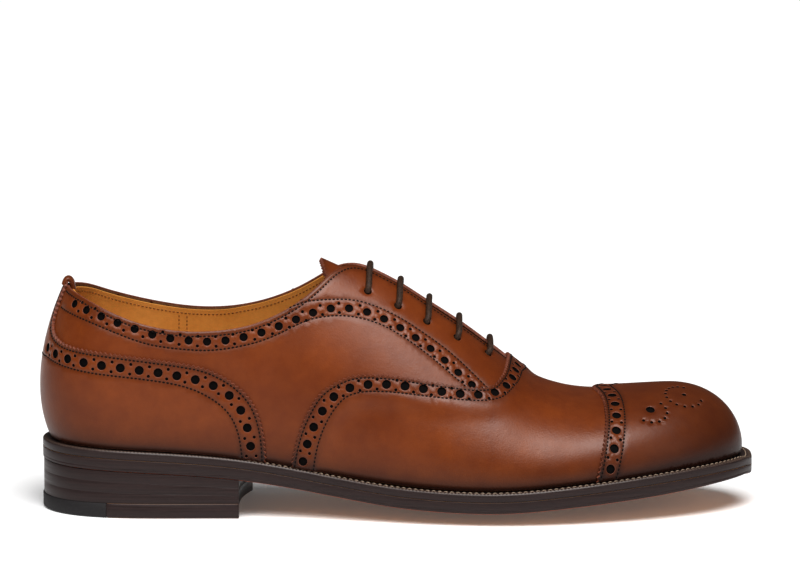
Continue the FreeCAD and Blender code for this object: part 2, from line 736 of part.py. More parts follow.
def heel_pieces():
    """Three wedge lifts, a leather top piece with a rubber quarter, and nails."""
    pieces = {}
    heel_x = (SLAB_START, HEEL_SLAB_END)

    def seat(x, y):
        return welt_level(x, y) - bottom_thickness(x) - GLUE_LINE / 2

    def level(k):
        def height(x, y):
            return TOP_PIECE_THICKNESS + (seat(x, y) - TOP_PIECE_THICKNESS) * k / LIFT_COUNT
        return height

    prism = heel_prism(LIFT_INSET)
    for k in range(LIFT_COUNT):
        top = level(k + 1)
        bottom = level(k)
        block = slab(lambda x, y: top(x, y) - GLUE_LINE / 2, bottom, heel_x, "lift slab")
        name = "heel_lift_%d" % (k + 1)
        pieces[name] = one_solid(block.common(prism), name)

    # the underside and the top are flat, so the block is a level slice of the prism
    wide = 2 * SLAB_HALF_WIDTH
    slice_box = Part.makeBox(SLAB_END - SLAB_START, wide, TOP_PIECE_THICKNESS - GLUE_LINE / 2,
                             V(SLAB_START, -SLAB_HALF_WIDTH, 0))
    block = heel_prism(0.0).common(slice_box)
    # the rubber quarter meets the leather along a shallow curve
    curve = Part.BSplineCurve()
    side_y = SLAB_HALF_WIDTH
    corner = V(RUBBER_LENGTH, side_y, -1)
    far_corner = V(RUBBER_LENGTH, -side_y, -1)
    curve.interpolate([far_corner, V(RUBBER_LENGTH, -RUBBER_EDGE_Y, -1), V(RUBBER_MIDDLE_X, 0, -1),
                       V(RUBBER_LENGTH, RUBBER_EDGE_Y, -1), corner])
    sides = [corner, V(SLAB_START, side_y, -1), V(SLAB_START, -side_y, -1), far_corner]
    edges = [curve.toShape()]
    for a, b in zip(sides, sides[1:]):
        edges.append(Part.LineSegment(a, b).toShape())
    cutter = Part.Face(Part.Wire(edges)).extrude(V(0, 0, 2 * TOP_PIECE_THICKNESS))
    rubber = block.common(cutter)
    leather = block.cut(cutter)

    nails = []
    sockets = []
    for x, y in NAIL_PLACES:
        nails.append(Part.makeCylinder(NAIL_RADIUS, NAIL_LENGTH, V(x, y, NAIL_SUNK)))
        radius = NAIL_RADIUS + GLUE_LINE / 2
        depth = NAIL_LENGTH + 2 * GLUE_LINE + NAIL_SUNK
        sockets.append(Part.makeCylinder(radius, depth, V(x, y, -GLUE_LINE)))
    socket = Part.makeCompound(sockets)
    pieces["heel_rubber_quarter"] = one_solid(rubber.cut(socket), "heel_rubber_quarter")
    pieces["heel_top_piece"] = one_solid(leather.cut(socket), "heel_top_piece")
    for k in range(2):
        name = "heel_lift_%d" % (k + 1)
        pieces[name] = one_solid(pieces[name].cut(socket), name)
    pieces["heel_nails"] = Part.makeCompound(nails)
    return pieces


# ---------------------------------------------------------------------------
# Lace, eyelets and tongue
# ---------------------------------------------------------------------------
def beside_ridge(run, side, distance, offset):
    """Point at a distance down from the ridge, on the section at a run."""
    c = station_at(run, side)
    gone = girth_table(c, side)
    return last_point(c, side, at_girth(gone, gone[-1] - distance), offset)


def eyelet_frame(index, side):
    """Centre of an eyelet on the upper's outside, and the way out of it."""
    run, distance = EYELETS[index]
    centre = beside_ridge(run, side, distance, 0.0)
    out = beside_ridge(run, side, distance, 1.0) - centre
    out.normalize()
    return centre, out


def bar_points(index, side):
    """Points of a lace bar from one side's eyelet over to the other's."""
    run, distance = EYELETS[index]
    near = []
    for share, over in ((1.0, LACE_OVER), (.68, LACE_OVER + .15), (.32, LACE_OVER + .1)):
        near.append(beside_ridge(run, side, distance * share, over))
    far = []
    for share, over in ((.32, LACE_OVER + .1), (.68, LACE_OVER + .15), (1.0, LACE_OVER)):
        far.append(beside_ridge(run, -side, distance * share, over))
    return near + far


def under_points(first, last, side, step):
    """Points of a hidden run under the facing, stepping aside on the way."""
    run_a, distance_a = EYELETS[first]
    run_b, distance_b = EYELETS[last]
    count = 2 * abs(last - first)
    points = []
    for i in range(count + 1):
        share = i / count
        run = run_a + (run_b - run_a) * share
        distance = distance_a + (distance_b - distance_a) * share
        aside = step * math.sin(math.pi * share)
        depth = LACE_UNDER - .25 * math.sin(math.pi * share)
        points.append(beside_ridge(run, side, distance + aside, depth))
    return points


def lace_route():
    """Centre line of the lace from one tucked end to the other."""
    run, distance = EYELETS[3]
    tail_a = [beside_ridge(run - 15, MEDIAL, distance + 9, LACE_UNDER - 1.2),
              beside_ridge(run - 7, MEDIAL, distance + 6.4, LACE_UNDER - .5)]
    run, distance = EYELETS[4]
    tail_b = [beside_ridge(run - 7, LATERAL, distance + 3, LACE_UNDER - .4),
              beside_ridge(run - 14, LATERAL, distance + 7, LACE_UNDER - 1.2)]
    route = tail_a + [beside_ridge(EYELETS[3][0], MEDIAL, EYELETS[3][1], LACE_UNDER)]
    route += bar_points(3, MEDIAL)
    route += under_points(3, 1, LATERAL, -LACE_SIDE_STEP)
    route += bar_points(1, LATERAL)
    route += under_points(1, 0, MEDIAL, 0.4)
    route += bar_points(0, MEDIAL)
    route += under_points(0, 2, LATERAL, LACE_SIDE_STEP)
    route += bar_points(2, LATERAL)
    route += under_points(2, 4, MEDIAL, -LACE_SIDE_STEP)
    route += bar_points(4, MEDIAL)
    route += [beside_ridge(EYELETS[4][0], LATERAL, EYELETS[4][1], LACE_UNDER)]
    route += tail_b
    return route


def tube_path(route):
    """Straight runs joined by tangent arcs, each as large as its runs allow."""
    edges = []
    radii = []
    here = route[0]
    for before, corner, after in zip(route, route[1:], route[2:]):
        a = before - corner
        b = after - corner
        shorter = min(a.Length, b.Length)
        turn = math.pi - a.getAngle(b)
        reach = .45 * shorter
        a.normalize()
        b.normalize()
        start = corner + a * reach
        end = corner + b * reach
        radius = reach / math.tan(turn / 2)
        middle_way = a + b
        middle_way.normalize()
        middle = corner + middle_way * (math.hypot(reach, radius) - radius)
        edges.append(Part.LineSegment(here, start).toShape())
        edges.append(Part.Arc(start, middle, end).toShape())
        radii.append(round(radius, 1))
        here = end
    edges.append(Part.LineSegment(here, route[-1]).toShape())
    return Part.Wire(edges), radii


def lace_pieces():
    """The lace as one tube, and its two aglets."""
    route = lace_route()
    path, radii = tube_path(route)
    print("lace bend radii", sorted(radii)[:12], "of", len(radii))
    start = route[0]
    direction = route[1] - route[0]
    circle = Part.makeCircle(LACE_DIAMETER / 2, start, direction)
    solid = path.makePipeShell([Part.Wire([circle])], True, False)
    solid = solid.Solids[0]
    if solid.Volume < 0:
        solid.reverse()
    expected = math.pi * LACE_DIAMETER ** 2 / 4 * path.Length
    print("lace valid", solid.isValid(), "length", round(path.Length, 1))
    print("lace volume", round(solid.Volume, 1), "section times length", round(expected, 1))
    aglets = []
    for end, inner in ((route[0], route[1]), (route[-1], route[-2])):
        axis = end - inner
        axis.normalize()
        radius = LACE_DIAMETER / 2 + AGLET_WALL
        aglets.append(Part.makeCylinder(radius, AGLET_LENGTH, end + axis * .05, axis))
    return {"lace": solid, "lace_aglets": Part.makeCompound(aglets)}


def punch_eyelets(solid, side):
    """Solid with the five lace holes of one side."""
    for index in range(len(EYELETS)):
        centre, out = eyelet_frame(index, side)
        reach = TONGUE_DEPTH
        solid = solid.cut(Part.makeCylinder(EYELET_DIAMETER / 2, 2 * reach, centre - out * reach, out))
    return solid


def tongue_solid():
    """Strip that follows the ridge under the facings, wider towards its top."""
    columns = 24
    rows = 16
    run_base = run_at_x(TONGUE_BASE_X)
    run_top = run_at_x(TONGUE_TOP_X)
    grids = []
    for offset in (-TONGUE_DEPTH, -TONGUE_DEPTH - TONGUE_THICKNESS):
        grid = []
        for i in range(columns + 1):
            run = run_base + (run_top - run_base) * i / columns
            widening = min(i / columns / TONGUE_WIDE_FROM, 1.0)
            width = TONGUE_HALF_WIDTH * (TONGUE_BASE_SHARE + (1 - TONGUE_BASE_SHARE) * widening)
            row = []
            for j in range(-rows // 2, rows // 2 + 1):
                side = LATERAL if j < 0 else MEDIAL
                row.append(beside_ridge(run, side, abs(j) / (rows / 2) * width, offset))
            grid.append(row)
        grids.append(grid)
    return plate(grids[0], grids[1], "tongue")


def run_at_x(x):
    """Run along the lateral feather edge at a distance x."""
    c = station_of_x(x)
    return run_table[LATERAL][int(round(c * TABLE_STEPS))]


# ---------------------------------------------------------------------------
# Upper
# ---------------------------------------------------------------------------
def upper_pieces():
    pieces = {}
    lining_outer = -LEATHER - LAYER_GAP
    lining_inner = lining_outer - LINING

    def behind(run, rise):
        """How far the quarter lining steps in behind the heel stiffener."""
        return (STIFFENER + LAYER_GAP) * smoothstep((STIFFENER_END_RUN + 14 - run) / 12)

    for side, word in ((LATERAL, "lateral"), (MEDIAL, "medial")):
        topline = TOPLINE_LATERAL if side == LATERAL else TOPLINE_MEDIAL
        name = "quarter_" + word
        quarter = panel(side, QUARTER_HIDDEN_EDGE, topline, -LEATHER, 0.0, name)
        pieces[name] = one_solid(punch_eyelets(quarter, side), name)
        name = "quarter_lining_" + word
        top = [(run, rise - LINING_BELOW_TOPLINE) for run, rise in topline[:-1]]
        top.append(LINING_FRONT_CORNER[side])
        lining = panel(side, LINING_HIDDEN_EDGE, top, lambda run, rise: lining_inner - behind(run, rise),
                       lambda run, rise: lining_outer - behind(run, rise), name)
        pieces[name] = one_solid(punch_eyelets(lining, side), name)
    counter_inner = LAYER_GAP
    pieces["heel_counter"] = back_panel(COUNTER_EDGE, counter_inner, counter_inner + LEATHER,
                                        "heel_counter")
    pieces["heel_stiffener"] = back_panel(STIFFENER_EDGE, lining_outer - STIFFENER, lining_outer,
                                          "heel_stiffener")
    pieces["vamp"] = vamp_solid("vamp")
    cap_inner = BODY_GAP
    pieces["toe_cap"] = toe_piece(CAP_EDGE, CAP_RIDGE_RUN, cap_inner, cap_inner + LEATHER, "toe_cap")
    puff_start = VAMP_UNDER_CAP + PUFF_PAST_VAMP
    puff_edge = [(run + puff_start, rise) for run, rise in CAP_EDGE]
    pieces["toe_puff"] = toe_piece(puff_edge, CAP_RIDGE_RUN + puff_start, -LEATHER + GLUE_LINE, -GLUE_LINE,
                                   "toe_puff")
    pieces["vamp_lining"] = toe_piece(VAMP_LINING_EDGE, VAMP_LINING_RIDGE_RUN, lining_inner, lining_outer,
                                      "vamp_lining")
    return pieces


def export(pieces):
    os.makedirs("parts", exist_ok=True)
    box = FreeCAD.BoundBox()
    for name, shape in sorted(pieces.items()):
        moved = shape.copy()
        moved.translate(-ORIGIN)
        moved.exportStep("parts/%s.step" % name)
        box.add(moved.optimalBoundingBox(False, False))
    print("nodes", len(pieces))
    print("box", [round(v, 2) for v in (box.XMin, box.XMax, box.YMin, box.YMax, box.ZMin, box.ZMax)])


pieces = {}
pieces.update(upper_pieces())
pieces.update(sole_pieces())
pieces.update(heel_pieces())
pieces.update(lace_pieces())
pieces["tongue"] = tongue_solid()
export(pieces)
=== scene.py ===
import math

import bpy
import numpy as np
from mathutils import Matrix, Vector
from mathutils.geometry import delaunay_2d_cdt
from mathutils.kdtree import KDTree


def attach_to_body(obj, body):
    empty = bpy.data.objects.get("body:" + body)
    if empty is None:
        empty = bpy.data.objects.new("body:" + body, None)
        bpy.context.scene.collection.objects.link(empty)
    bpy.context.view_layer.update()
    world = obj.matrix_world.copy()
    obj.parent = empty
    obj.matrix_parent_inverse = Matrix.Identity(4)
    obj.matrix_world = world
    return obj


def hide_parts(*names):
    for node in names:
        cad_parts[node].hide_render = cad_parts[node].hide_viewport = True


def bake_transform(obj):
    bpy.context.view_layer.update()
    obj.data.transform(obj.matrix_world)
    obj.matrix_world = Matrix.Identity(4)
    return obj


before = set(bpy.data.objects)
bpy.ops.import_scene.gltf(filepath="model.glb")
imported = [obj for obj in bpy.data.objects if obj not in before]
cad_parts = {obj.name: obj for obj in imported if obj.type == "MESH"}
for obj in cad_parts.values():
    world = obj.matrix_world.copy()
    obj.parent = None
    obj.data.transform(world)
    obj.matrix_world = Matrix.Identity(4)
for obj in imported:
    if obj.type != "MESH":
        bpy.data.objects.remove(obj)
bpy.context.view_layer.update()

# ---------------------------------------------------------------------------
# Leather oxford shoe: the looks. Everything is worked out in the working frame
# of the part's source, in millimetres, with X from the heel to the toe, Y to
# the medial side and Z up, and moved to the row frame when a mesh is made.
# A place on the upper is given by its run (along the feather edge from the
# back seam) and its rise (up the leather from the feather edge).
# ---------------------------------------------------------------------------
ORIGIN = np.array([151.6, -1.35, 0.0])
MM = 0.001
LATERAL = -1
MEDIAL = 1

# Last
HEEL_BACK_X = 5.1
TOE_TIP_X = 298.2
LATERAL_OUTLINE = [(0, 0), (.1, -19.2), (.2, -29.5), (.3, -30.5), (.4, -32.5), (.5, -42),
                   (.6, -48.5), (.7, -43), (.8, -30.3), (.9, -13.8), (1, 4)]
MEDIAL_OUTLINE = [(0, 0), (.1, 19.2), (.2, 29), (.3, 28.5), (.4, 26.5), (.5, 34),
                  (.6, 44.5), (.7, 44), (.8, 35), (.9, 21.5), (1, 4)]
FEATHER_HEIGHT = [(5, 30.3), (45, 28.6), (85, 25.2), (120, 19.9), (155, 15.5), (195, 14.2),
                  (235, 17.2), (270, 20.6), (298, 22.6)]
RIDGE_STATION = [(5.1, 30), (30, 40), (60, 62), (100, 100), (150, 150), (190, 190),
                 (230, 225.5), (265, 248), (298.2, 264)]
RIDGE_SIDE = [(30, 0), (100, 0), (150, 1.5), (200, 3.2), (264, 4)]
RIDGE_HEIGHT = [(30, 124), (60, 124), (90, 122), (112, 116.5), (128, 109.6), (143, 102.6),
                (153, 97.2), (163.4, 90.4), (174, 83.2), (188, 72.8), (197.7, 64.8),
                (204.5, 59.2), (211, 55), (218, 52.2), (226, 50.2), (238, 49.2),
                (250, 49.7), (264, 50.9)]
WALL_FULLNESS = [(0, .235), (.1, .30), (.2, .5), (.3, .6), (.4, .6), (.5, .52), (.6, .47),
                 (.7, .55), (.8, .53), (.9, .46), (1, .43)]
TOP_FULLNESS = [(0, 1.044), (.1, .95), (.2, .8), (.3, .62), (.4, .55), (.5, .5), (.6, .5),
                (.7, .62), (.8, .71), (.9, .73), (1, .72)]
WALL_FLARE = [(0, 11), (.1, 9), (.2, 5.5), (.3, 4.5), (.4, 3.5), (.5, 3), (.6, 3),
              (.7, 2.6), (.8, 2.4), (.9, 2.3), (1, 2.3)]
TOP_DROP = [(0, 29), (.1, 24), (.2, 11), (.3, 2), (.4, 0), (.5, 0), (1, 0)]

# Upper pattern, as (run, rise)
TOPLINE_LATERAL = [(0, 67.5), (12, 66.3), (25, 63.8), (37, 59.8), (50, 55.3), (63, 52.6),
                   (76, 52.1), (88, 53.6), (100, 57), (113, 64), (123, 71.8), (131, 80.5),
                   (138, 89.5), (144, 94.8), (150, 96.8), (157, 95.6), (166, 93),
                   (176, 88.7), (187, 84), (195, 80.5), (202, 77), (219, 70.5)]
TOPLINE_MEDIAL = [(0, 67.5), (12, 66.5), (25, 64.5), (37, 60.6), (50, 57.2), (63, 55.2),
                  (76, 54.6), (88, 55.8), (100, 59), (113, 65), (123, 71.6), (131, 78.5),
                  (138, 85), (144, 89), (150, 90.6), (157, 89.2), (166, 86.2),
                  (176, 81.6), (187, 76.9), (195, 73.3), (202, 69.6), (219, 63)]
QUARTER_HIDDEN_EDGE = [(0, 0), (60, 0), (118, 0), (125.5, 0), (129, 11), (134, 22), (141, 31),
                       (150, 36.5), (162, 38.5), (180, 38.5), (198, 39), (208, 42), (215, 50)]
LINING_HIDDEN_EDGE = [(0, 0), (60, 0), (120, 0), (180, 0), (195.5, 0), (195.5, 18), (197, 36),
                      (203, 50), (209, 61)]
COUNTER_EDGE = [(0, 69.5), (4.5, 68.5), (5.2, 62), (5.6, 56), (8, 49.5), (14, 45), (25, 42),
                (39, 40.8), (55, 39.6), (71, 38.4), (84, 36.5), (92, 33.4), (98, 29.6),
                (103, 24), (105.8, 17.5), (107.4, 10), (108, 0)]
VAMP_WING_EDGE = [(119, 0), (121.2, 10.9), (124, 19.5), (127.5, 27), (133, 35), (141, 41),
                  (151, 44.8), (162, 45.8), (178, 45.4), (196, 45), (203, 46), (207.5, 50),
                  (210, 56), (211.5, 64), (212.3, 72)]
VAMP_RIDGE_RUN = 212.6
CAP_EDGE = [(249.5, 0), (252.5, 12), (255.5, 24), (257.8, 36), (259, 46), (259, 53)]
CAP_RIDGE_RUN = 258.4
VAMP_UNDER_CAP = 8.0
VAMP_LINING_EDGE = [(197.2, 0), (197.2, 18), (198.7, 36), (205.2, 50), (211.7, 62)]
VAMP_LINING_RIDGE_RUN = 214.2

# Rows of stitching and the middle lines of the punched bands
BAND_LOW_ROW = [(9, 57.6), (20, 56), (33, 53), (46, 48.9), (58, 45.6), (71, 44.4), (84, 44.8),
                (96, 47.6), (105, 51), (117, 57.9), (126, 63.6), (135, 67.2), (144, 69),
                (151, 69.1), (159, 67.8), (166, 65.1), (173, 61.5), (180, 57), (187, 51.7),
                (197, 43.5)]
BAND_SPLIT_ROW = [(118, 67.5), (126, 71.8), (133, 74), (142, 76.2), (150, 76.8), (158, 75.7),
                  (167, 72.9), (176, 68.6), (186, 62.6), (195, 55.1), (205, 45)]
BAND_MIDDLE = [(12, 61.6), (20, 60.5), (29, 58.3), (38, 55.8), (46, 53.4), (54, 51.2), (62, 49.3),
               (70, 48.4), (78, 48.2), (86, 48.7), (94, 50.5), (102, 53.3), (109, 56.4),
               (117, 60.8), (124, 64.8), (131, 68.8), (139, 71.6), (147, 72.8), (154, 72.3),
               (161, 70.5), (168, 67.7), (175, 64.1), (181, 60.3), (187, 55.6), (193, 50.4),
               (200, 44.5)]
WING_MIDDLE = [(123.6, 0), (124.6, 6), (127, 14), (130, 21.5), (134.3, 29), (140.5, 35.8),
               (149, 39.9), (159, 41.9), (169, 42.3), (180, 41.9), (192, 41.4), (200, 41.9),
               (207, 44.4), (211.7, 49.8), (214.6, 58), (216, 66)]
WING_INNER_ROW = [(128.5, 0), (129.8, 8), (132, 16), (135.3, 23.7), (140, 31), (147, 36.3),
                  (155, 38.4), (166, 39.2), (177, 39.1), (188, 38.9), (198, 39), (206.5, 40.6),
                  (212.4, 45.9), (216.6, 54.9), (218.6, 65)]
WING_MIDDLE_STEP = 4.6
WING_INNER_STEP = 8.0
COUNTER_MIDDLE = [(0, 40.5), (9, 39.6), (16.4, 38), (24, 36.8), (32, 36), (40, 35.4), (49, 34.8),
                  (57, 34.2), (65, 33.6), (73, 32.7), (82, 31.2), (89.5, 28.6), (95.5, 24),
                  (99.3, 17), (101.3, 9), (102, 0)]
COUNTER_INNER_ROW = [(0, 37), (10.5, 35.8), (21, 33.8), (35, 32), (48, 31.2), (63, 30.1),
                     (76, 28), (86, 23.9), (92.4, 18.8), (96.3, 11), (98, 0)]
CAP_MIDDLE_STEP = 4.6
CAP_FRONT_STEP = 8.2
ROSETTE_HOLE = (280, 28.5)
# Rings of small holes, as (run, rise, radius, places, left open)
ROSETTE_RINGS = [(280, 28.5, 7.2, 14, range(2, 9)), (307, 33, 7.6, 16, (0, 1, 15))]
ROSETTE_EYE = (307, 33)
ROSETTE_EYE_HOLE = 0.95
TAB_HALF_WIDTH = 4.6
# Punched bands, as (pitch, start, radius of the big holes)
QUARTER_PUNCHES = (7.8, 7.5, 1.75)
VAMP_PUNCHES = (7.8, 3.4, 1.9)
COUNTER_PUNCHES = (8.0, 0.2, 1.9)
CAP_PUNCHES = (8.6, 5.2, 1.9)
ROSETTE_BIG_HOLE = 1.9
SMALL_HOLE = 0.66
SMALL_HOLE_SIDE = 2.05
HOLE_LIP = 0.13
BIG_HOLE_DEPTH = 0.85
SMALL_HOLE_DEPTH = 0.6
HOLE_RIM_GAP = 0.25
GROOVE_DEPTH = 0.2
GROOVE_HALF_WIDTH = 0.5
EDGE_ROW = 1.4
TOPLINE_ROW = 2.1
LINING_ROW = 1.9
LINING_SEAM_RUNS = (69.5, 73)
STITCH_BED = 0.1
ROW_STEP = 0.9
TOOTH_STEP = 1.05
QUARTER_STEP = 1.4
TOPLINE_STEP = 1.2
FOOT_STEP = 2.0
LINING_STEP = 1.6
LINING_FOOT_STEP = 2.5
VAMP_LINING_STEP = 2.4
CAP_FOOT_STEP = 1.6
TONGUE_STEP = 1.5
SEAM_GAP = 0.05
ROW_CLEARANCE = 0.22

# Leather
LEATHER = 1.2
LINING = 1.0
LAYER_GAP = 0.05
LINING_OUTER = -1.5
STIFFENER_END_RUN = 86.0
STIFFENER_STEP = 1.3
SKIVE_START = 8.0
SKIVE_LENGTH = 8.0

# Bottom
WELT_TOP = [(0, 29.7), (45, 28), (85, 24.8), (115, 20.2), (153, 15.1), (179, 13.8), (196, 13.8),
            (222, 15.6), (237, 17), (269, 20), (291, 21.5), (304, 21.8)]
BOTTOM_THICKNESS = [(0, 8.8), (85, 8.8), (112, 8.5), (150, 8.6), (230, 8.7), (275, 8.6), (304, 7.2)]
CAMBER = [(0, 0), (90, 0), (115, 1.5), (150, 4.2), (190, 5.1), (225, 4.9), (260, 3.2), (304, 1)]
WELT_STAND = [(0, 4.6), (.1, 4), (.2, 3.5), (.35, 3.4), (.42, 3), (.5, 4.6), (.6, 5.5),
              (.8, 5.6), (1, 5.7)]
WELT_THICKNESS = 3.6
INSEAM_INSET = 3.6
INSOLE_INSET = 4.2
INSOLE_THICKNESS = 3.0
INSOLE_LIFT = 2.1
BREAST_LATERAL_X = 85.0
BREAST_MIDDLE_X = 84.5
BREAST_MEDIAL_X = 89.5
TOP_PIECE_THICKNESS = 6.0
LIFT_COUNT = 3
RUBBER_LENGTH = 29.0
RUBBER_MIDDLE_X = 36.0
# Groove round the sole's face, as (inset, height)
SOLE_GROOVE = [(5.6, 0.0), (6.2, .3), (6.8, 0.0)]
WELT_WHEEL = 0.2
RAND_WHEEL = 0.12

# Tongue and lace
TONGUE_BASE_X = 200.0
TONGUE_TOP_X = 125.0
TONGUE_HALF_WIDTH = 24.0
TONGUE_THICKNESS = 1.8
TONGUE_LIP = 2.5
TONGUE_DEPTH = 6.3
LACE_DIAMETER = 2.2
LACE_SWELL = 0.22
EYELET_DIAMETER = 3.4
EYELETS = [(204, 15.5), (190.6, 19.5), (177.6, 21), (165.2, 21.5), (152.1, 21)]
LACE_OVER = 1.5
LACE_UNDER = -4.0
LACE_SIDE_STEP = 3.2
LACE_RING_STEP = 0.28
LACE_SIDES = 16
BRAID_STRANDS = 4
BRAID_TWIST = 2.6

# Darkening of the upper's colour, how dark and over what distance: painted shade at the foot of the walls, a
# burnished toe, a slightly darker front, darker edges and stitch rows
FOOT_SHADE = 0.85
FOOT_SHADE_HEIGHT = 6.5
TOE_SHADE = 0.45
TOE_SHADE_START_X = 225.0
TOE_SHADE_LENGTH = 70.0
FRONT_SHADE = 0.08
FRONT_SHADE_START_X = 120.0
FRONT_SHADE_LENGTH = 80.0
EDGE_SHADE = 0.35
EDGE_SHADE_WIDTH = 0.9
ROW_SHADE = 0.25
ROW_SHADE_WIDTH = 0.5


class Curve:
    """Smooth curve through (place, value) pairs, straight on past its ends."""

    def __init__(self, pairs):
        self.place = np.array([p[0] for p in pairs], float)
        self.value = np.array([p[1] for p in pairs], float)
        count = len(pairs)
        step = np.diff(self.place)
        slope = np.diff(self.value) / step
        matrix = np.eye(count)
        right = np.zeros(count)
        for i in range(1, count - 1):
            matrix[i, i - 1:i + 2] = step[i - 1], 2 * (step[i - 1] + step[i]), step[i]
            right[i] = 6 * (slope[i] - slope[i - 1])
        self.bend = np.linalg.solve(matrix, right)
        self.first_slope = slope[0] - step[0] * self.bend[1] / 6
        self.last_slope = slope[-1] + step[-1] * self.bend[-2] / 6

    def __call__(self, place):
        place = np.asarray(place, float)
        inside = np.clip(place, self.place[0], self.place[-1])
        i = np.clip(np.searchsorted(self.place, inside, side="right") - 1, 0, len(self.place) - 2)
        step = self.place[i + 1] - self.place[i]
        a = (self.place[i + 1] - inside) / step
        b = 1 - a
        value = a * self.value[i] + b * self.value[i + 1]
        value = value + ((a ** 3 - a) * self.bend[i] + (b ** 3 - b) * self.bend[i + 1]) * step ** 2 / 6
        beyond = np.where(place < inside, self.first_slope, self.last_slope)
        return value + beyond * (place - inside)


def smoothstep(x):
    x = np.clip(x, 0, 1)
    return x * x * (3 - 2 * x)


def unit(vectors):
    return vectors / np.maximum(np.linalg.norm(vectors, axis=-1, keepdims=True), 1e-12)


def distances(points):
    """Distance gone along a line of points."""
    return np.concatenate([[0], np.cumsum(np.linalg.norm(np.diff(points, axis=0), axis=1))])


def sampled(at, gone, values):
    """Values between the points of a line, at distances along it."""
    return np.stack([np.interp(at, gone, column) for column in values.T], -1)


# The last, for arrays of places
outline = {LATERAL: Curve(LATERAL_OUTLINE), MEDIAL: Curve(MEDIAL_OUTLINE)}
feather_height = Curve(FEATHER_HEIGHT)
ridge_station = Curve(RIDGE_STATION)
ridge_side = Curve(RIDGE_SIDE)
ridge_height = Curve(RIDGE_HEIGHT)
wall_fullness = Curve(WALL_FULLNESS)
top_fullness = Curve(TOP_FULLNESS)
wall_flare = Curve(WALL_FLARE)
top_drop = Curve(TOP_DROP)
welt_top = Curve(WELT_TOP)
bottom_thickness = Curve(BOTTOM_THICKNESS)
camber = Curve(CAMBER)
welt_stand = Curve(WELT_STAND)
TOPLINE = {LATERAL: TOPLINE_LATERAL, MEDIAL: TOPLINE_MEDIAL}
topline = {side: Curve(line) for side, line in TOPLINE.items()}


def feather_edge(c, side):
    """Plan points of the feather edge, from the back seam (0) to the toe tip (1)."""
    x = HEEL_BACK_X + (TOE_TIP_X - HEEL_BACK_X) * (1 - np.cos(np.pi * c)) / 2
    return np.stack([x, np.where(side < 0, outline[LATERAL](c), outline[MEDIAL](c))], -1)


def outward(c, side):
    """Level direction square to the feather edge, away from the last."""
    step = 1e-4
    along = unit(feather_edge(c + step, side) - feather_edge(c - step, side))
    out = np.stack([-side * along[..., 1], side * along[..., 0]], -1)
    out[c < step] = (-1, 0)
    out[c > 1 - step] = (1, 0)
    return out


def section(c, side):
    """Four control points of the last's sections from the feather edge to the ridge."""
    foot = feather_edge(c, side)
    x = foot[:, 0]
    y = foot[:, 1]
    out = outward(c, side)
    rx = ridge_station(x)
    ry = ridge_side(rx)
    rz = ridge_height(rx)
    slope = ridge_height(rx + .5) - ridge_height(rx - .5)
    low = feather_height(x)
    flare = wall_flare(c)
    full = top_fullness(c)
    wall = np.stack([x + flare * out[:, 0], y + flare * out[:, 1], low + wall_fullness(c) * (rz - low)], -1)
    reach_x = full * (x - rx)
    reach_y = full * (y - ry)
    top = np.stack([rx + reach_x, ry + reach_y, rz + slope * reach_x - top_drop(c)], -1)
    return np.stack([x, y, low], -1), wall, top, np.stack([rx, ry, rz], -1)


def on_section(points, t):
    """Points of the sections' curves, t from 0 at the feather edge to 1 at the ridge."""
    t = t[:, None]
    u = 1 - t
    return points[0] * u ** 3 + points[1] * (3 * t * u * u) + points[2] * (3 * t * t * u) + points[3] * t ** 3


GIRTH_STEPS = 40
STATIONS = np.linspace(0, 1, 401)
runs = {}
for each_side in (LATERAL, MEDIAL):
    runs[each_side] = distances(feather_edge(STATIONS, np.full(len(STATIONS), each_side)))


def station_at(run, side):
    """Stations at runs along the feather edge."""
    lateral = np.interp(run, runs[LATERAL], STATIONS)
    return np.where(side < 0, lateral, np.interp(run, runs[MEDIAL], STATIONS))


def girths(c, side):
    """Distances up the sections at even steps of t."""
    points = section(c, side)
    gone = [np.zeros(len(c))]
    before = points[0]
    for i in range(1, GIRTH_STEPS + 1):
        here = on_section(points, np.full(len(c), i / GIRTH_STEPS))
        gone.append(gone[-1] + np.linalg.norm(here - before, axis=1))
        before = here
    return np.stack(gone, 1)


def at_girth(gone, rise):
    """Shares t of the sections at rises up the leather."""
    i = np.clip((gone <= rise[:, None]).sum(1) - 1, 0, GIRTH_STEPS - 1)
    rows = np.arange(len(rise))
    part = (rise - gone[rows, i]) / (gone[rows, i + 1] - gone[rows, i])
    return np.clip((i + part) / GIRTH_STEPS, 0, 1)


def last_points(c, side, t, offset=0.0):
    """Points on the upper's outside, moved outwards by offset."""
    points = on_section(section(c, side), t)
    step = 2e-3
    c0 = np.maximum(c - step, 0)
    c1 = np.minimum(c + step, 1)
    along = on_section(section(c1, side), t) - on_section(section(c0, side), t)
    here = section(c, side)
    up = on_section(here, np.minimum(t + step, 1)) - on_section(here, np.maximum(t - step, 0))
    at_end = (c0 == 0) | (c1 == 1)
    along[at_end, 0] = 0
    along[at_end, 2] = 0
    normal = np.cross(up, along) * side[:, None]
    slope = ridge_height(points[:, 0] + .5) - ridge_height(points[:, 0] - .5)
    ridge_normal = np.stack([-slope, np.zeros(len(c)), np.ones(len(c))], -1)
    normal = np.where((t > 1 - 2 * step)[:, None], ridge_normal, normal)
    return points + unit(normal) * np.broadcast_to(offset, c.shape)[:, None]


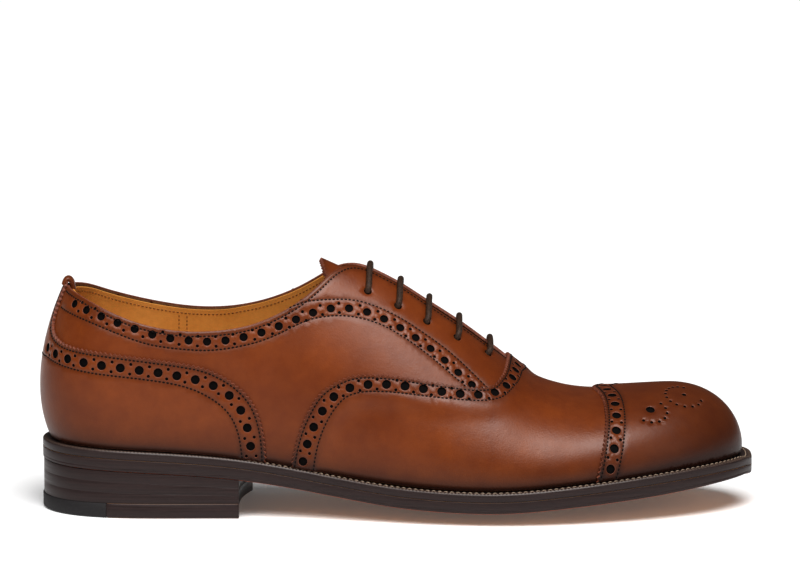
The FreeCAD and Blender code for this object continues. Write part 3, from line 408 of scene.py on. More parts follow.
# Charts: flat maps of the upper on which the pieces are cut
class Chart:
    """A flat map of the upper's surface. Its steps are small moves on the map."""

    steps = (1.0, 1.0)

    def plane(self, p):
        return p

    def inside(self, p):
        return p

    def moves(self, p):
        """How the surface point moves for a unit move along each direction of the map."""
        parts = []
        for k in (0, 1):
            step = np.zeros(2)
            step[k] = self.steps[k]
            before = self.inside(p - step)
            after = self.inside(p + step)
            gone = (after - before)[:, k:k + 1]
            parts.append((self.place(after) - self.place(before)) / np.where(gone == 0, 1, gone))
        return parts

    def normals(self, p):
        return unit(self.place(p, np.full(len(p), 1.0)) - self.place(p, np.zeros(len(p))))

    def moved(self, p, move):
        """Map places after small moves in space along the surface."""
        a, b = self.moves(p)
        aa = (a * a).sum(1)
        ab = (a * b).sum(1)
        bb = (b * b).sum(1)
        am = (a * move).sum(1)
        bm = (b * move).sum(1)
        det = aa * bb - ab * ab
        det = np.where(np.abs(det) < 1e-9, 1e-9, det)
        return p + np.stack([(bb * am - ab * bm) / det, (aa * bm - ab * am) / det], -1)


class SideChart(Chart):
    """Run, negative on the lateral side, and rise."""

    steps = (.4, .4)

    def inside(self, p):
        return np.stack([p[:, 0], np.maximum(p[:, 1], 0)], -1)

    def place(self, p, offset=0.0):
        side = np.where(p[:, 0] < 0, LATERAL, MEDIAL)
        c = station_at(np.abs(p[:, 0]), side)
        return last_points(c, side, at_girth(girths(c, side), p[:, 1]), offset)


class ToeChart(Chart):
    """Station, and share of the girth from the ridge: -1 and 1 are the feather edges."""

    steps = (.002, .008)

    def inside(self, p):
        return np.clip(p, (0, -1), (1, 1))

    def place(self, p, offset=0.0):
        p = self.inside(p)
        side = np.where(p[:, 1] < 0, LATERAL, MEDIAL)
        gone = girths(p[:, 0], side)
        return last_points(p[:, 0], side, at_girth(gone, (1 - np.abs(p[:, 1])) * gone[:, -1]), offset)

    def plane(self, p):
        """The sections laid flat on each side of the ridge."""
        p = self.inside(p)
        side = np.where(p[:, 1] < 0, LATERAL, MEDIAL)
        points = section(p[:, 0], side)
        ridge = points[3][:, :2]
        away = unit(points[0][:, :2] - ridge)
        return ridge + away * (np.abs(p[:, 1]) * girths(p[:, 0], side)[:, -1])[:, None]


class RidgeChart(Chart):
    """Run on the lateral side, and distance from the ridge, negative on the lateral side."""

    steps = (.4, .4)

    def place(self, p, offset=0.0):
        side = np.where(p[:, 1] < 0, LATERAL, MEDIAL)
        c = station_at(p[:, 0], np.full(len(p), LATERAL))
        gone = girths(c, side)
        return last_points(c, side, at_girth(gone, gone[:, -1] - np.abs(p[:, 1])), offset)


side_chart = SideChart()
toe_chart = ToeChart()
ridge_chart = RidgeChart()


def through(points):
    """Smooth line through map points: a function of the share gone along it."""
    points = np.array(points, float)
    gone = distances(points)
    gone /= gone[-1]
    first = Curve(list(zip(gone, points[:, 0])))
    second = Curve(list(zip(gone, points[:, 1])))
    return lambda share: np.stack([first(share), second(share)], -1)


def even(chart, line, spacing, count=None):
    """Map points at even distances in space along a line, ends included."""
    dense = chart.inside(line(np.linspace(0, 1, 500)))
    gone = distances(chart.place(dense))
    if count is None:
        count = max(int(round(gone[-1] / spacing)), 2)
    return sampled(np.linspace(0, gone[-1], count + 1), gone, dense)


def straight(chart, a, b, spacing):
    """Even map points on the straight line between two places."""
    a = np.array(a, float)
    b = np.array(b, float)
    return even(chart, lambda share: a + (b - a) * np.asarray(share)[:, None], spacing)


def joined(parts):
    """A closed outline of parts, each of which ends where the next one starts."""
    return np.concatenate([part[:-1] for part in parts])


def side_of_path(chart, p, closed):
    """Directions in the surface square to a path on the map."""
    points = chart.place(p)
    if closed:
        along = np.roll(points, -1, 0) - np.roll(points, 1, 0)
    else:
        along = np.gradient(points, axis=0)
    return unit(np.cross(chart.normals(p), unit(along)))


def beside(chart, p, distance, closed=False):
    """A path moved sideways in the surface by a distance."""
    move = side_of_path(chart, p, closed) * np.broadcast_to(distance, len(p))[:, None]
    return chart.inside(chart.moved(p, move))


def map_area(loop):
    """Area of a closed plane outline, positive anticlockwise."""
    x, y = loop[:, 0], loop[:, 1]
    return (x * np.roll(y, -1) - np.roll(x, -1) * y).sum() / 2


def inset_loop(chart, loop, distance):
    """A closed outline moved inwards by a distance."""
    near = beside(chart, loop, distance, True)
    far = beside(chart, loop, -distance, True)
    smaller = abs(map_area(chart.plane(near))) < abs(map_area(chart.plane(far)))
    return near if smaller else far


def gimped(chart, p, depth=.42):
    """An edge with pinked teeth: every second point stands out."""
    ends = np.minimum(np.arange(len(p)), np.arange(len(p))[::-1])
    size = np.where(ends < 1, 0, depth)
    return beside(chart, p, size * np.where(np.arange(len(p)) % 2 == 0, 1, -1))


def inside_loop(points, loop):
    """Which plane points are inside a closed outline."""
    result = np.zeros(len(points), bool)
    x, y = points[:, 0], points[:, 1]
    for (ax, ay), (bx, by) in zip(loop, np.roll(loop, -1, 0)):
        crosses = (ay > y) != (by > y)
        if ay != by:
            result ^= crosses & (x < (bx - ax) * (y - ay) / (by - ay) + ax)
    return result


def inside_any(points, loops):
    """Which plane points are inside any of some small closed outlines."""
    result = np.zeros(len(points), bool)
    for loop in loops:
        near = np.flatnonzero(((points > loop.min(0)) & (points < loop.max(0))).all(1))
        result[near] |= inside_loop(points[near], loop)
    return result


def nearest(points, others):
    """Distance from each point to the nearest of the others."""
    flat = ((0, 0), (0, 3 - others.shape[1]))
    tree = KDTree(len(others))
    for i, place in enumerate(np.pad(others, flat).tolist()):
        tree.insert(place, i)
    tree.balance()
    return np.array([tree.find(place)[2] for place in np.pad(points, flat).tolist()])


def circles(chart, centres, radii, counts):
    """Map points round each of many centres."""
    p = np.repeat(np.array(centres, float), counts, 0)
    radius = np.repeat(radii, counts)[:, None]
    turn = np.concatenate([np.arange(count) * 2 * math.pi / count for count in counts])[:, None]
    a = unit(chart.moves(p)[0])
    b = np.cross(chart.normals(p), a)
    points = chart.inside(chart.moved(p, radius * (a * np.cos(turn) + b * np.sin(turn))))
    return np.split(points, np.cumsum(counts)[:-1])


def rows_of_points(chart, loop, spacing):
    """Even points over the part of the map that a loop spans."""
    low = loop.min(0)
    high = loop.max(0)
    if chart is toe_chart:
        count = int(84 / spacing)
        levels = np.linspace(-1, 1, 2 * count + 1)
    else:
        levels = np.arange(low[1] + spacing / 2, high[1], spacing * .87)
    points = []
    for k, level in enumerate(levels):
        row = straight(chart, (low[0], level), (high[0], level), spacing)
        if k % 2:
            row = (row[1:] + row[:-1]) / 2
        points.append(row[:-1] if chart is toe_chart else row)
    return np.concatenate(points)


# Meshes
class Builder:
    """Collects points, faces and their material numbers for one piece."""

    def __init__(self):
        self.points = []
        self.faces = []
        self.kinds = []
        self.shades = []
        self.count = 0

    def add(self, points, shade=0.0):
        first = self.count
        self.points.append(np.asarray(points, float))
        self.shades.append(np.broadcast_to(shade, len(points)).astype(float))
        self.count += len(points)
        return np.arange(first, self.count)

    def face(self, corners, kind=0):
        self.faces.append([int(i) for i in corners])
        self.kinds.append(kind)

    def many(self, faces, kind=0):
        """Faces of one size, given as rows of point numbers."""
        self.faces += np.asarray(faces).tolist()
        self.kinds += [kind] * len(faces)

    def strip(self, a, b, kind=0, closed=True):
        """Quads between two rows of points."""
        quads = np.stack([a, np.roll(a, -1), np.roll(b, -1), b], -1)
        self.many(quads if closed else quads[:-1], kind)

    def make(self, name, materials, sharp=50, flip=False):
        points = (np.concatenate(self.points) - ORIGIN) * MM
        mesh = bpy.data.meshes.new(name)
        faces = [f[::-1] for f in self.faces] if flip else self.faces
        mesh.from_pydata(points.tolist(), [], faces)
        mesh.polygons.foreach_set("material_index", self.kinds)
        # per-point colour mark: burnishing, painted shade and painted highlights
        shade = mesh.attributes.new("burnish_and_painted_light", "FLOAT", "POINT")
        shade.data.foreach_set("value", np.concatenate(self.shades).astype(np.float32))
        for material in materials:
            mesh.materials.append(material)
        mesh.validate()
        mesh.shade_smooth()
        mesh.set_sharp_from_angle(angle=math.radians(sharp))
        thing = bpy.data.objects.new(name, mesh)
        bpy.context.scene.collection.objects.link(thing)
        return thing


def triangles(plane, loops):
    """Triangles between closed loops of plane points and loose points: the first loop is the rim."""
    edges = []
    for loop in loops:
        edges += [(int(a), int(b)) for a, b in zip(loop, np.roll(loop, -1))]
    verts = [Vector((float(x), float(y))) for x, y in plane]
    made = delaunay_2d_cdt(verts, edges, [], 1, 1e-7, True)
    origin = [o[0] if o else -1 for o in made[3]]
    owner = np.full(len(plane), -1)
    for k, loop in enumerate(loops[1:]):
        owner[loop] = k
    faces = [[origin[i] for i in f] for f in made[2]]
    faces = np.array([f for f in faces if min(f) >= 0 and len(set(f)) == 3])
    hole = owner[faces]
    in_hole = (hole[:, 0] >= 0) & (hole == hole[:, :1]).all(1)
    inside = inside_loop(plane[faces].mean(1), plane[loops[0]])
    return faces[inside & ~in_hole]


class Hole:
    """A round hole of a panel: open for a lace, or blind over a floor painted dark as shadow."""

    def __init__(self, centre, radius, is_open, ring, wall, flat):
        self.centre = centre
        self.is_open = is_open
        self.ring = ring
        self.wall = wall
        self.flat = flat
        self.depth = BIG_HOLE_DEPTH if radius > 1 else SMALL_HOLE_DEPTH


def holes_inside(chart, punched, rim_plane):
    """The holes that lie clear inside the rim, each with its rounded lip and its wall."""
    if not punched:
        return []
    centres = [centre for centre, radius, is_open in punched]
    radii = np.array([radius for centre, radius, is_open in punched])
    counts = np.where(radii > 1, 20, 10)
    lips = circles(chart, centres, radii + HOLE_LIP, counts)
    walls = circles(chart, centres, radii, counts)
    holes = []
    for (centre, radius, is_open), lip, wall in zip(punched, lips, walls):
        flat = chart.plane(lip)
        if inside_loop(flat, rim_plane).all() and np.linalg.norm(
                flat[:, None] - rim_plane[None], axis=2).min() > HOLE_RIM_GAP:
            holes.append(Hole(centre, radius, is_open, lip, wall, flat))
    return holes


def punch(build, chart, holes, over, under, lift, thickness):
    """Walls and floors of a panel's holes."""
    wall = np.concatenate([hole.wall for hole in holes])
    centre = np.array([hole.centre for hole in holes], float)
    deep = np.array([thickness - HOLE_LIP if hole.is_open else hole.depth for hole in holes])
    counts = [len(hole.wall) for hole in holes]
    height = lift(wall)
    # the throats and floors carry near-full darkening marks, painted shade inside the holes
    throats = np.split(build.add(chart.place(wall, height - HOLE_LIP), .9), np.cumsum(counts)[:-1])
    floor = chart.place(wall, height - np.repeat(deep, counts))
    floors = np.split(build.add(floor, 1), np.cumsum(counts)[:-1])
    middles = build.add(chart.place(centre, lift(centre) - deep), 1)
    belows = build.add(chart.place(centre, lift(centre) - thickness), 1)
    for k, hole in enumerate(holes):
        chain = [over[k], throats[k], floors[k]]
        if hole.is_open:
            chain.append(under[k])
        turned = map_area(hole.flat) > 0
        for kind, a, b in zip((1, 2, 2), chain, chain[1:]):
            build.strip(*((a, b) if turned else (b, a)), kind)
        if hole.is_open:
            continue
        for ring, middle, way, kind in ((floors[k], middles[k], turned, 2),
                                        (under[k], belows[k], not turned, 0)):
            ahead = np.roll(ring, -1)
            pair = (ring, ahead) if way else (ahead, ring)
            build.many(np.stack([*pair, np.full(len(ring), middle)], -1), kind)


def panel(name, chart, loop, lift, thickness, materials, rows=(), cups=(), openings=(), spacing=2.2,
          bevel=.3, shade=None):
    """A piece of leather cut to a loop on a chart, with grooved rows, blind holes and open holes."""
    build = Builder()
    inner = inset_loop(chart, loop, bevel)
    rim_plane = chart.plane(inner)
    punched = [(centre, radius, False) for centre, radius in cups]
    punched += [(centre, radius, True) for centre, radius in openings]
    holes = holes_inside(chart, punched, rim_plane)
    groups = [inner] + [hole.ring for hole in holes]
    depths = [np.zeros(len(group)) for group in groups]
    starts = np.cumsum([0] + [len(group) for group in groups])
    loops = [np.arange(a, b) for a, b in zip(starts, starts[1:])]
    fixed = chart.plane(np.concatenate(groups))
    groove = []
    for row in rows:
        groove.append((row, -GROOVE_DEPTH))
        groove.append((beside(chart, row, GROOVE_HALF_WIDTH), 0.0))
        groove.append((beside(chart, row, -GROOVE_HALF_WIDTH), 0.0))
    row_points = [chart.plane(row) for row, depth in groove]
    rings = [hole.flat for hole in holes]
    for (row, depth), flat in zip(groove, row_points):
        keep = inside_loop(flat, rim_plane) & ~inside_any(flat, rings)
        keep &= nearest(flat, fixed) > ROW_CLEARANCE
        groups.append(row[keep])
        depths.append(np.full(keep.sum(), depth))
    near = np.concatenate([fixed] + row_points)
    loose = rows_of_points(chart, loop, spacing)
    flat = chart.plane(loose)
    keep = inside_loop(flat, rim_plane) & ~inside_any(flat, rings)
    keep[keep] = nearest(flat[keep], near) > .5 * spacing
    groups.append(loose[keep])
    depths.append(np.zeros(keep.sum()))
    p = np.concatenate(groups)
    depth = np.concatenate(depths)
    plane = chart.plane(p)
    faces = triangles(plane, loops)

    height = lift(p)
    top = chart.place(p, height + depth)
    # darkening marks near the rim and the rows; shade adds the burnishing and the painted shade at the foot
    # of the walls
    mark = EDGE_SHADE * np.exp(-nearest(plane, rim_plane) / EDGE_SHADE_WIDTH)
    if row_points:
        mark = mark + ROW_SHADE * np.exp(-nearest(plane, np.concatenate(row_points)) / ROW_SHADE_WIDTH)
    if shade is not None:
        mark = np.clip(mark + shade(top), 0, 1)
    over = build.add(top, mark)
    under = build.add(chart.place(p, height - thickness), mark)
    build.many(over[faces])
    build.many(under[faces[:, ::-1]], 3 if len(materials) > 3 else 0)
    outer_height = lift(loop)
    rim = build.add(chart.place(loop, outer_height - bevel), .5)
    rim_under = build.add(chart.place(loop, outer_height - thickness), .5)
    first = np.arange(len(inner))
    turned = map_area(rim_plane) > 0
    loops_of_wall = [over[first], rim, rim_under, under[first]]
    for k in range(3):
        a, b = loops_of_wall[k], loops_of_wall[k + 1]
        if turned:
            a, b = b, a
        build.strip(a, b, 1)
    if holes:
        punch(build, chart, holes, [over[index] for index in loops[1:]],
              [under[index] for index in loops[1:]], lift, thickness)
    # the triangles turn outwards if the map does
    a, b, c = (top[faces[:, k]] for k in range(3))
    out = chart.normals(p[faces[:, 0]])
    flip = (np.cross(b - a, c - a) * out).sum() < 0
    return build.make(name, materials, flip=flip)


STITCH_SHAPE = ((-1.0, .35, -.42), (-.78, .8, -.08), (-.3, 1.0, .1), (.3, 1.0, .1), (.78, .8, -.08),
                (1.0, .35, -.42))


def sew(build, points, normals, pitch, radius):
    """Adds short raised threads at a pitch along a line of points."""
    gone = distances(points)
    number = int(gone[-1] / pitch)
    if number < 1:
        return
    station, size, sink = np.array(STITCH_SHAPE).T
    sides = 6
    middles = (np.arange(number)[:, None] + .5 + station * .35) * gone[-1] / number
    along = unit(sampled(middles + .2, gone, points) - sampled(middles - .2, gone, points))
    across = unit(np.cross(sampled(middles, gone, normals), along))
    up = np.cross(along, across)
    centre = sampled(middles, gone, points) + up * (sink * 2 * radius)[:, None]
    turn = np.arange(sides)[:, None] * 2 * math.pi / sides
    around = across[:, :, None] * np.cos(turn) + up[:, :, None] * np.sin(turn) * .85
    rings = centre[:, :, None] + around * (size * radius)[:, None, None]
    index = build.add(rings.reshape(-1, 3)).reshape(number, len(station), sides)
    ahead = np.roll(index, -1, 2)
    quads = np.stack([index[:, 1:], ahead[:, 1:], ahead[:, :-1], index[:, :-1]], -1)
    build.many(quads.reshape(-1, 4))
    build.many(index[:, 0])
    build.many(index[:, -1, ::-1])


def stitches(name, chart, lines, lift, material, pitch=1.7, radius=.31, inwards=False):
    """Short raised threads along lines of map points."""
    build = Builder()
    for line in lines:
        dense = even(chart, through(line), 0, 3 * len(line))
        normals = chart.normals(dense) * (-1 if inwards else 1)
        sew(build, chart.place(dense, lift(dense)), normals, pitch, radius)
    return build.make(name, [material], sharp=80)


# Camera
CAMERA_TARGET = (0.0016, 0.0, 0.0964)
CAMERA_ELEVATION = 8.8
CAMERA_DISTANCE = 3.0
SENSOR = 36.0
VIEW_WIDTH = 0.3409


def make_camera():
    """Long lens, level with the lateral side and a little above it."""
    data = bpy.data.cameras.new("camera")
    data.sensor_width = SENSOR
    data.lens = SENSOR * CAMERA_DISTANCE / VIEW_WIDTH
    data.clip_end = 50
    camera = bpy.data.objects.new("camera", data)
    lift = math.radians(CAMERA_ELEVATION)
    back = Vector((0, -math.cos(lift), math.sin(lift)))
    camera.location = Vector(CAMERA_TARGET) + back * CAMERA_DISTANCE
    camera.rotation_euler = (-back).to_track_quat("-Z", "Y").to_euler()
    bpy.context.scene.collection.objects.link(camera)
    bpy.context.scene.camera = camera


make_camera()


# Materials
class Shader:
    """A material's nodes, made one at a time."""

    def __init__(self, name):
        self.material = bpy.data.materials.new(name)
        self.material.use_nodes = True
        self.tree = self.material.node_tree
        self.tree.nodes.clear()
        self.output = self.tree.nodes.new("ShaderNodeOutputMaterial")
        self.body = self.tree.nodes.new("ShaderNodeBsdfPrincipled")
        self.link(self.body.outputs[0], self.output.inputs[0])
        self.where = self.tree.nodes.new("ShaderNodeTexCoord").outputs["Object"]

    def link(self, a, b):
        self.tree.links.new(a, b)

    def feed(self, socket, value):
        if isinstance(value, bpy.types.NodeSocket):
            self.link(value, socket)
        else:
            socket.default_value = value

    def noise(self, scale, detail=4.0, roughness=.55, stretch=None):
        node = self.tree.nodes.new("ShaderNodeTexNoise")
        node.inputs["Scale"].default_value = scale
        node.inputs["Detail"].default_value = detail
        node.inputs["Roughness"].default_value = roughness
        self.link(self.stretched(stretch), node.inputs["Vector"])
        return node.outputs["Fac"]

    def cells(self, scale):
        node = self.tree.nodes.new("ShaderNodeTexVoronoi")
        node.inputs["Scale"].default_value = scale
        self.link(self.where, node.inputs["Vector"])
        return node.outputs["Distance"]

    def stretched(self, stretch):
        if stretch is None:
            return self.where
        node = self.tree.nodes.new("ShaderNodeMapping")
        node.inputs["Scale"].default_value = stretch
        self.link(self.where, node.inputs["Vector"])
        return node.outputs[0]

    def attribute(self, name):
        node = self.tree.nodes.new("ShaderNodeAttribute")
        node.attribute_name = name
        return node.outputs["Fac"]

    def spread(self, value, low, high, to_low=0.0, to_high=1.0):
        node = self.tree.nodes.new("ShaderNodeMapRange")
        self.link(value, node.inputs["Value"])
        node.inputs["From Min"].default_value = low
        node.inputs["From Max"].default_value = high
        node.inputs["To Min"].default_value = to_low
        node.inputs["To Max"].default_value = to_high
        return node.outputs[0]

    def math(self, operation, a, b):
        node = self.tree.nodes.new("ShaderNodeMath")
        node.operation = operation
        self.feed(node.inputs[0], a)
        self.feed(node.inputs[1], b)
        return node.outputs[0]

    def mix(self, share, a, b):
        node = self.tree.nodes.new("ShaderNodeMix")
        node.data_type = "RGBA"
        self.feed(node.inputs["Factor"], share)
        self.feed(node.inputs["A"], a)
        self.feed(node.inputs["B"], b)
        return node.outputs["Result"]

    def bump(self, height, strength, distance, under=None):
        node = self.tree.nodes.new("ShaderNodeBump")
        node.inputs["Strength"].default_value = strength
        node.inputs["Distance"].default_value = distance
        self.link(height, node.inputs["Height"])
        if under is not None:
            self.link(under, node.inputs["Normal"])
        return node.outputs[0]

    def finish(self, colour, roughness, normal=None, **values):
        self.feed(self.body.inputs["Base Color"], colour)
        self.feed(self.body.inputs["Roughness"], roughness)
        if normal is not None:
            self.link(normal, self.body.inputs["Normal"])
        for name, value in values.items():
            self.body.inputs[name.replace("_", " ")].default_value = value
        return self.material


def rgb(red, green, blue):
    """Linear colour of display values from 0 to 255."""
    linear = []
    for value in (red, green, blue):
        share = value / 255
        linear.append(share / 12.92 if share <= .04045 else ((share + .055) / 1.055) ** 2.4)
    return (*linear, 1.0)


def leather_grain(shader, strength):
    """Fine pebbled grain with shallow pores."""
    pores = shader.cells(1500)
    soft = shader.noise(520, 3)
    grain = shader.bump(pores, .10 * strength, .0002)
    return shader.bump(soft, .16 * strength, .0003, grain)


def upper_leather():
    """Burnished calf: saddle brown with cloudy hand colouring, darker where it is burnished and where shade
    is painted at the foot of the walls.
    """
    shader = Shader("upper_leather")
    cloud = shader.spread(shader.noise(26, 5, .6), .32, .7)
    fine = shader.spread(shader.noise(160, 4, .6), .3, .75)
    tan = shader.mix(cloud, rgb(106, 50, 14), rgb(130, 67, 23))
    tan = shader.mix(shader.math("MULTIPLY", fine, .35), tan, rgb(92, 36, 11))
    mark = shader.attribute("burnish_and_painted_light")
    # the mark darkens the colour for burnishing and for painted shade
    burnt_and_shaded = shader.mix(shader.spread(mark, 0, 1, 0, .92), tan, rgb(36, 14, 8))
    rough = shader.spread(shader.noise(70, 3), .3, .7, .33, .42)
    return shader.finish(burnt_and_shaded, rough, leather_grain(shader, 1.0), Specular_IOR_Level=.38)


def cut_edge():
    """Dyed cut edge of the upper leather, matt."""
    shader = Shader("cut_edge")
    fibre = shader.spread(shader.noise(900, 4), .3, .7)
    colour = shader.mix(fibre, rgb(92, 46, 30), rgb(138, 82, 60))
    return shader.finish(colour, .62, shader.bump(shader.noise(1400, 3), .4, .0002))


def hole_painted_shadow():
    """Painted shadow: near-black floor of the punched holes, in place of the shaded underlay."""
    shader = Shader("hole_painted_shadow")
    colour = shader.mix(shader.noise(700, 3), rgb(6, 4, 4), rgb(20, 15, 14))
    normal = shader.bump(shader.noise(1500, 2), .3, .0002)
    return shader.finish(colour, .8, normal, Specular_IOR_Level=.1)


def plain(name, dark, light, noise, spread, rough, bump, **values):
    """A material of one noise, which mixes two colours and lifts the surface."""
    shader = Shader(name)
    tone = shader.noise(*noise)
    if spread:
        tone = shader.spread(tone, .3, .7)
    return shader.finish(shader.mix(tone, dark, light), rough, shader.bump(tone, *bump), **values)


def lining_leather():
    """Vegetable tanned lining, honey tan and smooth."""
    shader = Shader("lining_leather")
    cloud = shader.spread(shader.noise(34, 4), .3, .7)
    fine = shader.spread(shader.noise(420, 5, .65), .3, .75)
    colour = shader.mix(cloud, rgb(205, 143, 66), rgb(224, 164, 86))
    colour = shader.mix(shader.math("MULTIPLY", fine, .3), colour, rgb(166, 112, 56))
    return shader.finish(colour, .52, leather_grain(shader, .8))


def sole_edge():
    """Inked and waxed sole edge with faint leather layers."""
    shader = Shader("sole_edge")
    layers = shader.noise(60, 4, .6, (.4, .4, 26))
    worn = shader.spread(shader.noise(220, 4, .6, (1, 1, 4)), .35, .75)
    colour = shader.mix(shader.spread(layers, .2, .85), rgb(36, 26, 25), rgb(58, 44, 43))
    colour = shader.mix(shader.math("MULTIPLY", worn, .25), colour, rgb(66, 48, 44))
    rough = shader.spread(layers, .3, .7, .34, .5)
    normal = shader.bump(layers, .15, .0003)
    return shader.finish(colour, rough, normal, Specular_IOR_Level=.35)


def sole_leather():
    """Oak bark leather of the sole's face, tan with faint fibres."""
    shader = Shader("sole_leather")
    cloud = shader.spread(shader.noise(22, 5, .6), .3, .7)
    fibre = shader.spread(shader.noise(500, 5, .7, (.3, 1, 1)), .3, .7)
    colour = shader.mix(cloud, rgb(178, 122, 72), rgb(200, 146, 92))
    colour = shader.mix(shader.math("MULTIPLY", fibre, .4), colour, rgb(150, 98, 56))
    colour = shader.mix(shader.attribute("burnish_and_painted_light"), colour, rgb(70, 40, 28))
    return shader.finish(colour, shader.spread(fibre, 0, 1, .38, .55), shader.bump(fibre, .2, .0002))


def welt_leather():
    """Dark welt with painted highlights on the tips of its wheeling."""
    shader = Shader("welt_leather")
    tone = shader.spread(shader.noise(350, 4), .3, .7)
    colour = shader.mix(tone, rgb(38, 27, 26), rgb(66, 50, 46))
    # painted highlight: the marked tips of the wheeling are mixed towards a light colour
    colour = shader.mix(shader.attribute("burnish_and_painted_light"), colour, rgb(118, 100, 86))
    return shader.finish(colour, .45, shader.bump(tone, .3, .0002))


def insole_leather():
    shader = Shader("insole_leather")
    cloud = shader.spread(shader.noise(40, 5), .3, .7)
    colour = shader.mix(cloud, rgb(188, 138, 84), rgb(208, 160, 104))
    return shader.finish(colour, .6, leather_grain(shader, 1.2))


def cork():
    shader = Shader("cork")
    crumbs = shader.cells(420)
    colour = shader.mix(shader.spread(crumbs, .1, .7), rgb(96, 64, 40), rgb(176, 132, 88))
    return shader.finish(colour, .9, shader.bump(crumbs, .6, .0005))


def thread(name, dark, light):
    """Twisted waxed thread."""
    return plain(name, dark, light, (1800, 2), True, .6, (.4, .0001), Specular_IOR_Level=.15)


def metal(name, dark, light, rough):
    """Drawn metal with fine scratches along it."""
    return plain(name, dark, light, (600, 4, .6, (1, 1, .1)), False, rough, (.1, .0001), Metallic=1.0)


UPPER = upper_leather()
CUT = cut_edge()
HOLE = hole_painted_shadow()
LINING_MATERIAL = lining_leather()
SOLE_EDGE = sole_edge()
SOLE_FACE = sole_leather()
WELT_MATERIAL = welt_leather()
INSOLE = insole_leather()
CORK = cork()
DARK_THREAD = thread("dark_thread", rgb(10, 7, 7), rgb(34, 24, 22))
LINING_THREAD = thread("lining_thread", rgb(120, 78, 40), rgb(158, 108, 62))
WELT_THREAD = thread("welt_thread", rgb(120, 104, 90), rgb(172, 154, 136))
STEEL = metal("steel", rgb(120, 120, 124), rgb(170, 170, 176), .35)
BRASS = metal("brass", rgb(160, 120, 50), rgb(208, 168, 86), .3)
# suede-like back of the leather
FLESH = plain("flesh_side", rgb(112, 74, 44), rgb(150, 106, 66), (1300, 5, .7), True, .9, (.5, .0003))
# bright natural line where the sole's bottom edge is bevelled
SOLE_LINE = plain("sole_line", rgb(150, 62, 24), rgb(186, 88, 38), (300, 3, .6, (.2, .2, 1)), True, .5,
                  (.2, .0002))
RUBBER = plain("rubber", rgb(24, 22, 23), rgb(44, 40, 41), (900, 3), False, .66, (.3, .0002))
# board of pressed leather fibre
BOARD = plain("stiffener", rgb(120, 98, 74), rgb(172, 148, 118), (800, 5, .7), False, .9, (.5, .0003))
# waxed cotton: the braid itself is modelled
LACE = plain("lace_cotton", rgb(40, 27, 20), rgb(78, 57, 44), (1500, 3), True, .6, (.4, .0002),
             Specular_IOR_Level=.3)
AGLET = plain("aglet", rgb(30, 22, 18), rgb(52, 40, 34), (400, 3), False, .3, (.1, .0001))
UPPER_SET = [UPPER, CUT, HOLE, FLESH]


def shoe_shade(points):
    """Darkening over the whole shoe: painted shade at the foot of the walls, a burnished dark toe, and a
    slightly darker front.
    """
    x = points[:, 0]
    above_foot = np.maximum(points[:, 2] - feather_height(x), 0)
    # painted shade: the foot of the walls is darkened as if it lay in shadow
    foot = np.exp(-above_foot / FOOT_SHADE_HEIGHT) * FOOT_SHADE
    toe = smoothstep((x - TOE_SHADE_START_X) / TOE_SHADE_LENGTH) * TOE_SHADE
    front = smoothstep((x - FRONT_SHADE_START_X) / FRONT_SHADE_LENGTH) * FRONT_SHADE
    return foot + toe + front


def attach(piece, slot, *nodes, bends=True, body="rear"):
    """Hides the CAD nodes that a piece replaces; bakes the piece in place where bends is set, otherwise
    parents it to its body so that it follows it.
    """
    if nodes:
        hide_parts(*nodes)
    if bends:
        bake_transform(piece)
    else:
        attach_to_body(piece, body)
    return piece


# Pattern lines
def on_side(points, side):
    """Pattern points of one side's map; the medial side is lower at the facing."""
    points = np.array(points, float)
    if side == MEDIAL:
        ratio = topline[MEDIAL](points[:, 0]) / topline[LATERAL](points[:, 0])
        points[:, 1] *= ratio
    points[:, 0] *= side
    return points


def across_toe(edge, ridge_run):
    """Edge that crosses the ridge, on the toe map, from the lateral foot to the medial foot."""
    edge = np.array(edge, float)
    side = np.full(len(edge), LATERAL)
    c = station_at(edge[:, 0], side)
    share = 1 - edge[:, 1] / girths(c, side)[:, -1]
    half = np.stack([c, -share], -1)
    ridge = [[float(station_at(ridge_run, LATERAL)), 0.0]]
    other = half[::-1] * (1, -1)
    return through(np.concatenate([half, ridge, other]))


def toe_place(run, rise, side):
    """Place on the toe map of a pattern point."""
    c = station_at(np.array([float(run)]), np.array([LATERAL]))
    share = 1 - rise / girths(c, np.array([LATERAL]))[0, -1]
    return np.array([c[0], side * share])


def along_line(chart, p, pitch, start):
    """Map points at a pitch along a line, from a distance after its start."""
    gone = distances(chart.place(p))
    return sampled(np.arange(start, gone[-1], pitch), gone, p)


def broguing(chart, line, pitch, start, radius):
    """Big holes at a pitch along a band, with a pair of small holes between each two."""
    p = even(chart, through(line), 0, 8 * len(line))
    holes = [(tuple(place), radius) for place in along_line(chart, p, pitch, start)]
    between = along_line(chart, p, pitch, start + pitch / 2)
    upper = beside(chart, p, SMALL_HOLE_SIDE)
    lower = beside(chart, p, -SMALL_HOLE_SIDE)
    index = [int(np.argmin(np.linalg.norm(p - place, axis=1))) for place in between]
    for row in (upper, lower):
        holes += [(tuple(row[i]), SMALL_HOLE) for i in index]
    return holes


# Upper
def flat_lift(p):
    return np.zeros(len(p))


def over_lift(p):
    return np.full(len(p), LEATHER + LAYER_GAP)


def sew_rows(name, chart, rows, lift, **how):
    """Dark stitches along a panel's rows, bedded a little into the leather."""
    sewn = stitches(name, chart, rows, lambda p: lift(p) - STITCH_BED, DARK_THREAD)
    attach(sewn, "upper_leather", **how)


